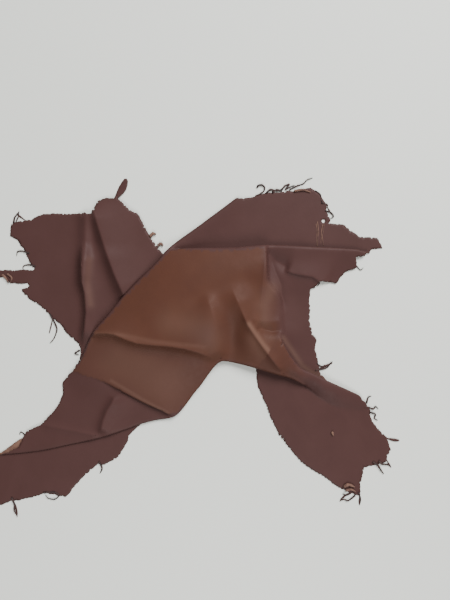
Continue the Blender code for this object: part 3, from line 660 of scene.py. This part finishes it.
def turn_rows(edge):
    """Rows of points that run along each turn, and the edges that join them."""
    fine = np.arange(edge[:, 0].min(), edge[:, 0].max(), 1 * MM)
    fine_section = Section(fine)
    by_edge = Nearby(edge, 0.5 * EDGE_STEP)
    points, links = [], []
    for k in range(TURNS):
        slope = np.gradient(fine_section.turn[k], fine)
        travelled = np.concatenate(([0.0], np.cumsum(np.hypot(1, slope)[:-1] * np.diff(fine))))
        across = np.interp(np.arange(0, travelled[-1], FOLD_STEP), travelled, fine)
        section = Section(across)
        for share in np.linspace(0, 1, ROWS_A_TURN):
            row = np.stack((across, section.start[k] + share * section.arc[k]), axis=1)
            kept = (section.arc[k] > LEAST_ARC) & inside(row, edge)
            kept &= np.array([not by_edge.taken(point) for point in row])
            for index in np.flatnonzero(kept):
                if index and kept[index - 1]:
                    links.append((len(points) - 1, len(points)))
                points.append(row[index])
    return np.array(points), links


def crease_points(edge):
    """Rows of points along each crease and on both sides of it, so that its crest stays sharp."""
    places = {}
    for owner, _, _, _, _, path in CREASES:
        layer = BAND if owner == TONGUE else owner
        path = np.array(path, float)
        for a, b in zip(path, path[1:]):
            count = max(1, round(np.linalg.norm(b - a) / CREST_STEP))
            away = np.array((a[1] - b[1], b[0] - a[0])) / np.linalg.norm(b - a)
            for index in range(count):
                at = a + (b - a) * index / count
                places.setdefault(layer, []).extend(at + away * shift for shift in CREASE_ROWS)
    found = np.concatenate([flat_points(layer, rows) for layer, rows in places.items()])
    return found[inside(found, edge)]


# %% Holes and grid
# Small holes in the skin: layer, x, y and radius in mm.
HOLES = ((UPPER_RIGHT, 321, 290, 4.2), (LOWER, 451, -268, 2.4), (LOWER, 438, -266, 2.0),
         (UPPER_LEFT, -346, 183, 2.6))
HOLE_CORNERS = 9
LEAST_HOLE, MOST_HOLE = 0.8, 1.1    # how far its corners lie out, as shares of its radius
hole_centres = np.concatenate([flat_points(layer, ((x, y),)) for layer, x, y, _ in HOLES])


def hole_points():
    """A ring of points around each hole, a little uneven."""
    ring = []
    for centre, (_, _, _, radius) in zip(hole_centres, HOLES):
        for corner in range(HOLE_CORNERS):
            angle = 2 * math.pi * corner / HOLE_CORNERS
            away = radius * MM * rng.uniform(LEAST_HOLE, MOST_HOLE)
            ring.append(centre + away * np.array((math.cos(angle), math.sin(angle))))
    return np.array(ring)


def grid_points(edge):
    """A plain grid of points over the whole sheet, in staggered rows."""
    low, high = edge.min(axis=0), edge.max(axis=0)
    rows = []
    for row, v in enumerate(np.arange(low[1], high[1], CELL * math.sqrt(3) / 2)):
        across = np.arange(low[0] + (row % 2) * CELL / 2, high[0], CELL)
        rows.append(np.stack((across, np.full(len(across), v)), axis=1))
    grid = np.concatenate(rows)
    return grid[inside(grid, edge)]


HOLE_GAP = 0.3 * MM           # how close points may lie to those that are there already
CREASE_GAP = 1.5 * MM
GRID_GAP = 0.6 * CELL
turn_points, links = turn_rows(edge)
inner = list(turn_points)
near_edge = Nearby(edge, GRID_GAP)
for extra, gap in ((hole_points(), HOLE_GAP), (crease_points(edge), CREASE_GAP),
                   (grid_points(edge), GRID_GAP)):
    near_inner = Nearby(inner, gap)
    for point in extra:
        if not near_inner.taken(point) and not near_edge.taken(point):
            near_inner.add(point)
            inner.append(point)
print(len(turn_points), "points on the turns,", len(inner), "points inside the edge")


# %% Triangles of the flat leather
def flat_mesh(edge, inner, links):
    """Triangulate the flat leather, and drop the triangles outside its cut edge."""
    count = len(edge)
    points = [Vector(point) for point in np.concatenate((edge, inner))]
    held = [(index, (index + 1) % count) for index in range(count)]
    held += [(a + count, b + count) for a, b in links]
    points, _, faces, _, _, _ = delaunay_2d_cdt(points, held, [], 0, 1e-6)
    points = np.array([tuple(point) for point in points])
    faces = np.array(faces)
    a, b, c = (points[faces[:, index]] for index in range(3))
    turned = (b[:, 0] - a[:, 0]) * (c[:, 1] - a[:, 1]) - (b[:, 1] - a[:, 1]) * (c[:, 0] - a[:, 0])
    # v runs down the section, so a face must run clockwise here to have its grain side up.
    faces[turned > 0] = faces[turned > 0][:, ::-1]
    middles = (a + b + c) / 3
    kept = inside(middles, edge)
    for centre, (_, _, _, radius) in zip(hole_centres, HOLES):
        kept &= np.hypot(*(middles - centre).T) > LEAST_HOLE * radius * MM
    return points, faces[kept]


flat, faces = flat_mesh(edge, np.array(inner), links)
section = Section(flat[:, 0])
placed = section.place(flat[:, 1])
layer_of = section.layer_of(flat[:, 1])
placed[:, 0] -= ORIGIN[0]
placed[:, 1] -= ORIGIN[1]
print(len(faces), "triangles in the middle surface")


# %% [markdown]
# ## Painted sheen and painted highlights
#
# The flat lobes catch a grey sheen that the tilted band misses, and that is painted into the colour:
# the band is painted a warmer brown than the lobes. The knob, the facet beside the neck and the
# crests of the folds get painted highlights, a paler colour. A texture can't know where those are.
# So two numbers are stored at each point of the sheet, and the finish reads them.

# %% Band painted warm, out of the sheen
# Below this line, columns x and y, the flatter band gets painted sheen: its colour goes back towards
# the lobes' greyer one.
BELOW_CREASE = ((-240, 0), (-206, 31), (-160, 31), (-109, 12), (-38, 5), (36, -10), (82, -32))
CREASE_END = 90 * MM          # that holds up to this x,
CREASE_SHEEN = 0.35            # and takes off this share of the tone
TONE_RUN = 24 * MM            # how softly one tone passes into the other
NECK_MARGIN = 4 * MM          # the warm tone reaches this far past the neck crease
# The ridge past the neck is painted warm too, as out of the sheen, and that fades off to the right.
RIDGE_TONE = 0.8              # the ridge past the neck is as warm as this,
RIDGE_END = 300 * MM          # and it is no longer warm from here,
RIDGE_RUN = 80 * MM           # after fading over this run
KNOB = (48, 38, 36, 32)       # x, y and the two radii of the knob in mm
KNOB_PALE = 0.4
FACET = (168, 52, 150)        # left, lower and upper side of the facet in mm
FACET_PALE = 0.55
FACET_RUN = 14 * MM           # how softly the facet starts, and how softly it ends above
FACET_END_RUN = 20 * MM


def painted_out_of_sheen():
    """1 where the raised band is painted warm, out of the flat lobes' grey sheen, 0 on the lobes."""
    x, y = placed[:, 0] + ORIGIN[0], placed[:, 1] + ORIGIN[1]
    from_neck = ease((table_line(NECK_CREASE, y) + NECK_MARGIN - x) / TONE_RUN)
    below_crease = ease((table_line(BELOW_CREASE, x) - y) / TONE_RUN) * (x < CREASE_END)
    on_band = (layer_of == BAND) * from_neck
    on_ridge = (layer_of == STRIP) * (x > 0) * ease((RIDGE_END - x) / RIDGE_RUN) * RIDGE_TONE
    # The knob and the facet beside the neck catch the light, and that grey sheen is painted in by
    # taking off some of the warm tone.
    knob_x, knob_y, wide, high = (value * MM for value in KNOB)
    knob = np.exp(-((x - knob_x) / wide) ** 2 - ((y - knob_y) / high) ** 2)
    left, lower, upper = (value * MM for value in FACET)
    facet = ease((x - left) / FACET_RUN) * ease((y - lower) / FACET_RUN)
    paled = 1 - KNOB_PALE * knob - FACET_PALE * facet * ease((upper - y) / FACET_END_RUN)
    return np.clip(on_band * (1 - CREASE_SHEEN * below_crease) * paled + on_ridge, 0, 1)


# %% Painted highlights
# Painted highlights, a paler colour where the crests, the knob and the facet catch the light: layer,
# strength, half width in mm, and the places x and y that the mark runs through, in mm.
PAINTED_HIGHLIGHTS = (
    (BAND, 0.36, 34, ((-30, 56), (16, 50), (50, 42), (66, 20))),
    (BAND, 0.45, 17, ((202, 136), (186, 100), (184, 60))),
    (BAND, 0.85, 6, ((150, 54), (182, 8), (212, -28), (240, -59))),
    (BAND, 0.3, 18, ((160, 20), (192, -24), (222, -56))),
    (BAND, 0.6, 6, ((228, 22), (272, -42), (300, -60), (340, -78))),
    (BAND, 0.33, 60, ((-150, -30), (-90, -54), (-50, -80))),
    (BAND, 0.35, 6, ((-204, 32), (-136, 28), (-72, 14), (48, 2))),
    (BAND, 0.5, 5, ((-166, -76), (-100, -116), (-38, -150))),
    (UPPER_LEFT, 0.4, 9, ((-218, 200), (-222, 150), (-214, 100))),
)


def painted_highlight():
    """How strong the painted highlight is, from 0 to 1: on the knob, the facet and the crests."""
    centre = np.array(SIGHT_CENTRE)
    true = placed[:, :2] + np.array(ORIGIN)
    seen = centre + (true - centre) * (SIGHT_HEIGHT / (SIGHT_HEIGHT - placed[:, 2]))[:, None]
    found = np.zeros(len(placed))
    for layer, strength, width, path in PAINTED_HIGHLIGHTS:
        path = np.array(path, float) * MM
        away = np.full(len(placed), np.inf)
        for a, b in zip(path, path[1:]):
            share = np.clip((seen - a) @ (b - a) / ((b - a) @ (b - a)), 0, 1)
            away = np.minimum(away, np.linalg.norm(seen - a - share[:, None] * (b - a), axis=1))
        mark = strength * np.exp(-(away / (width * MM)) ** 2)
        found = np.maximum(found, mark * (layer_of == layer))
    return found


# Two maps of painted light: the band's warmth out of the sheen, and the painted highlights.
tones = {"painted_out_of_sheen": painted_out_of_sheen(), "painted_highlight": painted_highlight()}
for kind, values in tones.items():
    print(kind, "is over 0.1 at", int((values > 0.1).sum()), "of", len(placed), "points")


# %% The sheet
def add_object(name, data):
    """Put a mesh, a camera or a light into the scene."""
    made = bpy.data.objects.new(name, data)
    bpy.context.scene.collection.objects.link(made)
    return made


def make_sheet(name):
    """The folded leather as one mesh, with its flat place as UV and two maps of painted light."""
    mesh = bpy.data.meshes.new(name)
    mesh.from_pydata(placed.tolist(), [], faces.tolist())
    flat_map = mesh.uv_layers.new(name="flat")
    corners = np.zeros(len(mesh.loops), int)
    mesh.loops.foreach_get("vertex_index", corners)
    flat_map.data.foreach_set("uv", flat[corners].astype(np.float32).ravel())
    for kind, values in tones.items():
        tone = mesh.attributes.new(kind, "FLOAT", "POINT")
        tone.data.foreach_set("value", values.astype(np.float32))
    piece = add_object(name, mesh)
    bm = bmesh.new()
    bm.from_mesh(mesh)
    loose = [vertex for vertex in bm.verts if not vertex.link_faces]
    bmesh.ops.delete(bm, geom=loose, context="VERTS")
    bm.to_mesh(mesh)
    bm.free()
    mesh.shade_smooth()
    return piece


hide = make_sheet("leather_hide")
shell = hide.modifiers.new("thickness", "SOLIDIFY")
shell.thickness = THICKNESS
shell.offset = 0.0
shell.use_even_offset = False
shell.material_offset = 1
shell.material_offset_rim = 2
print("the sheet has", len(hide.data.polygons), "faces before it gets its thickness")


# %% [markdown]
# ## Torn threads
#
# The flesh side of a skin frays where it is torn, and curled fibres hang from the edge. They
# could be hair curves, but a few dozen of them are easier to place one by one as thin tubes.
# Each thread starts in the edge and winds over the floor through a few chosen places. Where the
# edge curls over, or the grain is scratched, the pale inside of the skin shows, and that is laid
# on in the same way.

# %% Threads
# The thickness of each torn thread, then the places x and y that it runs through, in mm.
THREADS = (
    (2.7, ((169, 367), (171, 371), (178, 373), (185, 369), (185, 360), (176, 353), (164, 348))),
    (2.7, ((190, 355), (199, 362), (210, 360), (224, 362), (233, 371), (243, 374), (233, 362),
        (250, 371), (259, 369))),
    (2.6, ((204, 355), (213, 362), (224, 360), (231, 369), (240, 374))),
    (2.1, ((243, 362), (261, 371), (275, 376), (284, 385), (296, 389))),
    (2.6, ((302, -52), (319, -49), (330, -45), (337, -36), (342, -33))),
    (1.8, ((305, -36), (316, -43), (325, -40))),
    (2.2, ((424, -137), (436, -141), (440, -135), (447, -141))),
    (2.2, ((427, -148), (440, -153), (438, -162), (445, -167))),
    (2.2, ((420, -128), (424, -114), (431, -112))),
    (2.8, ((447, -260), (456, -267), (466, -268), (475, -272))),
    (2.8, ((434, -262), (445, -270), (452, -280), (459, -290))),
    (2.2, ((401, -332), (406, -348), (404, -362))),
    (2.4, ((394, -339), (378, -351), (367, -348), (358, -353))),
    (2.0, ((388, -332), (374, -339), (365, -335))),
    (2.3, ((-307, 77), (-298, 61), (-291, 45), (-293, 31), (-300, 17), (-307, 10))),
    (3.0, ((-394, -344), (-388, -360), (-388, -374), (-381, -388))),
    (2.3, ((-322, -333), (-309, -332), (-296, -332), (-286, -338), (-293, -347), (-308, -347),
        (-317, -339))),
    (2.6, ((-194, -262), (-187, -277), (-192, -289))),
    (2.2, ((-238, -6), (-245, -10), (-250, -14), (-240, -17))),
    (2.2, ((-354, 216), (-368, 221), (-381, 220), (-383, 211))),
    (2.2, ((-340, 186), (-354, 190), (-367, 187), (-369, 178))),
    (1.6, ((-362, -201), (-374, -194), (-376, -201))),
    (2.6, ((-390, 286), (-387, 299), (-377, 312))),
    (2.0, ((-384, 290), (-379, 301), (-378, 311))),
    (2.0, ((325, 314), (339, 309), (344, 300), (337, 296))),
    (1.5, ((397, 187), (406, 178), (413, 183))),
    (2.6, ((300, 137), (298, 151), (305, 155), (312, 148), (307, 141))),
    (1.6, ((302, 360), (314, 351), (316, 337), (323, 330))),
    (1.8, ((316, 332), (330, 328), (328, 319))),
)
# Bits of the pale inside of the skin: curled-over edge, two long scratches and a speck.
PALE_BITS = (
    (5.0, ((-77, 254), (-70, 261), (-63, 259))),
    (4.5, ((-59, 233), (-52, 238), (-47, 233))),
    (3.4, ((254, 359), (268, 361), (279, 360), (291, 356))),
    (5.0, ((367, -319), (378, -314), (392, -319))),
    (4.0, ((371, -328), (383, -325), (394, -330))),
    (3.6, ((-415, 167), (-408, 160), (-401, 148))),
    (3.0, ((-404, 169), (-394, 160), (-397, 148))),
    (1.1, ((307, 289), (309, 270), (308, 252), (307, 231))),
    (1.1, ((319, 282), (316, 263), (319, 247), (321, 233))),
    (0.8, ((304, 284), (306, 266), (305, 247), (306, 231))),
    (0.8, ((322, 286), (321, 268), (316, 250), (313, 231))),
    (3.4, ((340, -193), (342, -198), (343, -202))),
)
print(len(THREADS), "threads and", len(PALE_BITS), "pale bits")

# %% Tubes along the threads
THREAD_SIDES = 6
STEPS_BETWEEN = 5
SWOLLEN = 1.7                 # torn fibres fray, so they look thicker than they are
MIDDLE_SHARE = 0.45           # height of a fibre's middle, as a share of its thickness
LEATHER_TOP = 1.4             # a bit on the leather starts from this height, in mm,
FLOOR_GAP = 0.1               # and a fibre on the floor from this one
RISE = 1.2                    # how high a fibre's waves lift it, in mm,
WAVE = 0.5                    # and how quickly they follow, in radians a step
TAPER = 0.6                   # the share of its thickness that it loses towards its tip
UNEVEN = (0.85, 1.1)          # how much thinner and thicker it is here and there


def smooth_line(places):
    """A smooth curve through the places, as a list of points."""
    places = [2 * places[0] - places[1], *places, 2 * places[-1] - places[-2]]
    line = []
    for a, b, c, d in zip(places, places[1:], places[2:], places[3:]):
        for step in range(STEPS_BETWEEN):
            t = step / STEPS_BETWEEN
            line.append(0.5 * (2 * b + (c - a) * t + (2 * a - 5 * b + 4 * c - d) * t ** 2
                               + (3 * b - a - 3 * c + d) * t ** 3))
    return line + [places[-2]]


def add_thread(bm, thick, places, on_leather):
    """One fibre: a tapering tube that starts in the leather and lies on what is below it."""
    line = smooth_line([np.array(place, float) for place in places])
    low = (LEATHER_TOP if on_leather else FLOOR_GAP) + MIDDLE_SHARE * thick
    wave = rng.uniform(0, math.pi)
    points = []
    for step, (x, y) in enumerate(line):
        rise = 0.0 if on_leather else RISE * math.sin(wave + WAVE * step) ** 2
        points.append(Vector((x * MM - ORIGIN[0], y * MM - ORIGIN[1], (low + rise) * MM)))
    rings = []
    for step, point in enumerate(points):
        after = points[min(step + 1, len(points) - 1)]
        run = (after - points[max(step - 1, 0)]).normalized()
        side = run.cross(Vector((0, 0, 1))).normalized()
        up = side.cross(run)
        share = step / (len(points) - 1)
        radius = 0.5 * SWOLLEN * thick * MM * (1 - TAPER * share ** 2) * rng.uniform(*UNEVEN)
        point.z = max(point.z, radius)
        ring = []
        for corner in range(THREAD_SIDES):
            angle = 2 * math.pi * corner / THREAD_SIDES
            out = side * math.cos(angle) + up * math.sin(angle)
            ring.append(bm.verts.new(point + radius * out))
        rings.append(ring)
    for first, second in zip(rings, rings[1:]):
        for corner in range(THREAD_SIDES):
            after = (corner + 1) % THREAD_SIDES
            bm.faces.new((first[corner], first[after], second[after], second[corner]))
    bm.faces.new(rings[0][::-1])
    bm.faces.new(rings[-1])


def make_threads(name, rows, on_leather):
    """All the fibres of one table as one mesh."""
    mesh = bpy.data.meshes.new(name)
    bm = bmesh.new()
    for thick, places in rows:
        add_thread(bm, thick, places, on_leather)
    bmesh.ops.recalc_face_normals(bm, faces=bm.faces)
    bm.to_mesh(mesh)
    bm.free()
    mesh.shade_smooth()
    print(name, "has", len(mesh.polygons), "faces")
    return add_object(name, mesh)


threads = make_threads("torn_threads", THREADS, False)
pale_bits = make_threads("pale_bits", PALE_BITS, True)


# %% [markdown]
# ## Shader maths as expressions
#
# A node tree is easier to read as a formula. The class below wraps a socket, so that adding or
# multiplying two of them makes the Math node that does it.

# %% Socket expressions
class Link:
    """A socket of a node tree that can stand in a Python expression."""

    def __init__(self, shader, socket):
        self.shader = shader
        self.socket = socket

    def maths(self, operation, first, second):
        return self.shader.node("Math", {"operation": operation}, {0: first, 1: second})

    def __add__(self, other):
        return self.maths("ADD", self, other)

    def __sub__(self, other):
        return self.maths("SUBTRACT", self, other)

    def __rsub__(self, other):
        return self.maths("SUBTRACT", other, self)

    def __mul__(self, other):
        return self.maths("MULTIPLY", self, other)

    __radd__ = __add__
    __rmul__ = __mul__


class Shader:
    """A material with a Principled BSDF, and one method that adds any other node."""

    def __init__(self, name, roughness):
        self.material = bpy.data.materials.new(name)
        self.material.use_nodes = True
        self.tree = self.material.node_tree
        self.surface = self.tree.nodes["Principled BSDF"]
        self.surface.inputs["Roughness"].default_value = roughness
        self.surface.inputs["Metallic"].default_value = 0.0

    def feed(self, socket, value):
        """Give a socket a link or a plain value."""
        if isinstance(value, Link):
            self.tree.links.new(value.socket, socket)
        else:
            socket.default_value = value

    def node(self, kind, settings, sockets, output=0):
        """Add a node: its type, its settings, and the values or links of its sockets."""
        made = self.tree.nodes.new("ShaderNode" + kind)
        for key, value in settings.items():
            setattr(made, key, value)
        for key, value in sockets.items():
            self.feed(made.inputs[key], value)
        return Link(self, made.outputs[output])

    def finish(self, **sockets):
        """Feed the surface's own sockets, named with _ for each space."""
        for name, value in sockets.items():
            self.feed(self.surface.inputs[name.replace("_", " ")], value)
        return self.material

    def mix(self, share, first, second):
        """Blend two colours. The colour sockets of a Mix node are its inputs 6 and 7."""
        return self.node("Mix", {"data_type": "RGBA"}, {0: share, 6: first, 7: second}, 2)

    def ramp(self, value, low, high):
        """Stretch the values from low to high over 0 to 1, and clip the rest."""
        return self.node("MapRange", {"clamp": True},
                         {"Value": value, "From Min": low, "From Max": high})


def rgb(red, green, blue):
    """A colour that is given as it looks on a screen, 0 to 255, as Blender's linear colour."""
    def linear(value):
        value /= 255
        return value / 12.92 if value <= 0.04045 else ((value + 0.055) / 1.055) ** 2.4
    return (linear(red), linear(green), linear(blue), 1.0)


# %% [markdown]
# ## Finishes
#
# The grain side is dyed a reddish brown. It is semi-matt: a fine pebble of pores breaks the
# highlight, and the dye is a little cloudy. Over that, the colour holds painted sheen: the band,
# which tilts out of the grey sheen of the flat lobes, is painted warmer than they are, and the
# knob and the crests of the folds get painted highlights, a little paler. The flesh side is a
# paler suede. The torn edge and its threads are darker, because open fibres soak up more dye, and
# only a few curled bits show the pale inside of the skin.

# %% Grain side
FLAT_PLACE, PLACE = 2, 3      # outputs of a Texture Coordinate node: the UV, and the object's own
FACTOR = 2                    # output of an Attribute node
# The difference between the next two colours is painted sheen: the lobe colour is greyer, for the
# sheen that the flat lobes catch, and the band colour is warmer, where the band tilts out of it.
LOBE_COLOUR = rgb(67, 45, 43)
BAND_COLOUR = rgb(74, 46, 36)
DARK_COLOUR = rgb(50, 31, 28)
# The colour and the share of the painted highlights on the crests, the knob and the facet.
PAINTED_HIGHLIGHT_COLOUR = rgb(114, 88, 76)
PAINTED_HIGHLIGHT_SHARE = 0.48
CLOUD_SCALE = 14.0            # the dye's large clouds, then its small ones, as noise to a metre
FINE_CLOUD_SCALE = 90.0
PEBBLE_SCALE = 330.0          # the grain's pebbles, then its pores, as cells to a metre
PORE_SCALE = 620.0
GRAIN_DEPTH = 0.6 * MM


def grain_finish():
    """Dyed grain: cloudy, painted warm on the band and greyer on the lobes for the sheen, with painted
    highlights, pores and pebbles.
    """
    shader = Shader("dyed_grain", roughness=0.5)
    place = shader.node("TexCoord", {}, {}, FLAT_PLACE)
    tone = shader.node("Attribute", {"attribute_name": "painted_out_of_sheen"}, {}, FACTOR)
    cloud = shader.node("TexNoise", {}, {"Vector": place, "Scale": CLOUD_SCALE, "Detail": 4.0,
                                         "Roughness": 0.55})
    fine_cloud = shader.node("TexNoise", {}, {"Vector": place, "Scale": FINE_CLOUD_SCALE,
                                              "Detail": 3.0})
    pores = shader.node("TexVoronoi", {"feature": "F1"},
                        {"Vector": place, "Scale": PORE_SCALE, "Randomness": 1.0})
    pebble = shader.node("TexVoronoi", {"feature": "SMOOTH_F1"},
                         {"Vector": place, "Scale": PEBBLE_SCALE, "Smoothness": 0.6})
    # Painted sheen: warm where the band tilts out of it, greyer on the flat lobes.
    colour = shader.mix(tone, LOBE_COLOUR, BAND_COLOUR)
    shade = shader.ramp(cloud, 0.35, 0.8) * 0.25 + shader.ramp(fine_cloud, 0.4, 0.9) * 0.06
    colour = shader.mix(shade, colour, DARK_COLOUR)
    # Painted highlights: a paler colour on the crests, the knob and the facet.
    highlight_paint = shader.node("Attribute", {"attribute_name": "painted_highlight"}, {}, FACTOR)
    colour = shader.mix(highlight_paint * PAINTED_HIGHLIGHT_SHARE, colour, PAINTED_HIGHLIGHT_COLOUR)
    rough = 0.44 + shader.ramp(fine_cloud, 0.3, 0.7) * 0.08 + shader.ramp(pebble, 0.0, 0.8) * 0.06
    height = pebble * 0.5 + pores * 0.2 + fine_cloud * 0.3
    bump = shader.node("Bump", {}, {"Height": height, "Strength": 0.25, "Distance": GRAIN_DEPTH})
    return shader.finish(Base_Color=colour, Roughness=rough, Normal=bump, Specular_IOR_Level=0.08)


# %% Flesh side, raw edge and threads
NAP_FINER = 12                # how much finer the nap is than the clouds of colour
NAP_DEPTH = 0.5 * MM


def suede_finish(name, light, dark, scale):
    """Short nap: a cloudy colour that never shines, with a bump of fine fibres."""
    shader = Shader(name, roughness=0.9)
    place = shader.node("TexCoord", {}, {}, PLACE)
    cloud = shader.node("TexNoise", {}, {"Vector": place, "Scale": scale, "Detail": 5.0})
    nap = shader.node("TexNoise", {}, {"Vector": place, "Scale": scale * NAP_FINER, "Detail": 2.0})
    colour = shader.mix(shader.ramp(cloud, 0.35, 0.65), dark, light)
    bump = shader.node("Bump", {}, {"Height": nap, "Strength": 0.5, "Distance": NAP_DEPTH})
    return shader.finish(Base_Color=colour, Normal=bump)


# The piece, the finish's name, its light and dark colours, and its clouds to a metre.
SUEDES = (
    (hide, "flesh_side", rgb(106, 76, 62), rgb(80, 54, 44), 60.0),
    (hide, "raw_edge", rgb(72, 47, 41), rgb(42, 29, 27), 160.0),
    (threads, "fibre", rgb(62, 40, 36), rgb(34, 22, 22), 120.0),
    (pale_bits, "pale_fibre", rgb(112, 82, 68), rgb(76, 52, 45), 90.0),
)
hide.data.materials.append(grain_finish())
for piece, name, light, dark, scale in SUEDES:
    piece.data.materials.append(suede_finish(name, light, dark, scale))
print("materials:", ", ".join(material.name for material in hide.data.materials))

# %% [markdown]
# ## Camera, light and floor
#
# The camera looks straight down from about a metre, with a wide lens. Most of the light comes
# from one large soft panel high on the far side, as from a window, so the folds shade the way
# they do in the photo. A small panel on the near side and a pale world fill the shadows. The
# floor is plain and pale.

# %% Camera
camera_data = bpy.data.cameras.new("view_from_above")
camera_data.sensor_fit = "VERTICAL"
camera_data.sensor_height = 36.0
camera_data.lens = 26.0
camera = add_object("view_from_above", camera_data)
camera.location = (SIGHT_CENTRE[0] - ORIGIN[0], SIGHT_CENTRE[1] - ORIGIN[1], SIGHT_HEIGHT)
bpy.context.scene.camera = camera
print(f"camera {camera.location.z:.3f} m above the floor, lens {camera_data.lens:.0f} mm")


# %% Light and floor
def add_panel(name, power, size, place):
    """A square soft light that points from its place to the hide."""
    data = bpy.data.lights.new(name, "AREA")
    data.energy = power
    data.shape = "SQUARE"
    data.size = size
    lamp = add_object(name, data)
    lamp.location = place
    lamp.rotation_euler = (-Vector(place)).to_track_quat("-Z", "Y").to_euler()


add_panel("window_panel", power=620.0, size=3.0, place=(2.2, 3.5, 3.6))
add_panel("near_panel", power=75.0, size=1.6, place=(0.1, -2.2, 2.2))
ROOM_COLOUR = (0.94, 0.95, 0.92, 1.0)
ROOM_LIGHT = 0.27
world = bpy.data.worlds.new("pale_room")
world.use_nodes = True
world.node_tree.nodes["Background"].inputs["Color"].default_value = ROOM_COLOUR
world.node_tree.nodes["Background"].inputs["Strength"].default_value = ROOM_LIGHT
bpy.context.scene.world = world

FLOOR_SIZE = 6.0
floor_mesh = bpy.data.meshes.new("floor")
half = FLOOR_SIZE / 2
floor_mesh.from_pydata([(-half, -half, 0), (half, -half, 0), (half, half, 0), (-half, half, 0)],
                       [], [(0, 1, 2, 3)])
floor = add_object("floor", floor_mesh)
floor_paint = Shader("floor_paint", roughness=0.7)
floor_mesh.materials.append(floor_paint.finish(Base_Color=rgb(214, 216, 210)))

# %% [markdown]
# ## Tying the pieces to the model
#
# The fine sheet stands for the imported solid: the sheet, its threads and its pale bits are tied to
# the root body, and the imported hide is hidden.

# %% Attach and hide
for piece in (hide, threads, pale_bits):
    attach(piece, "root")
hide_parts("hide")
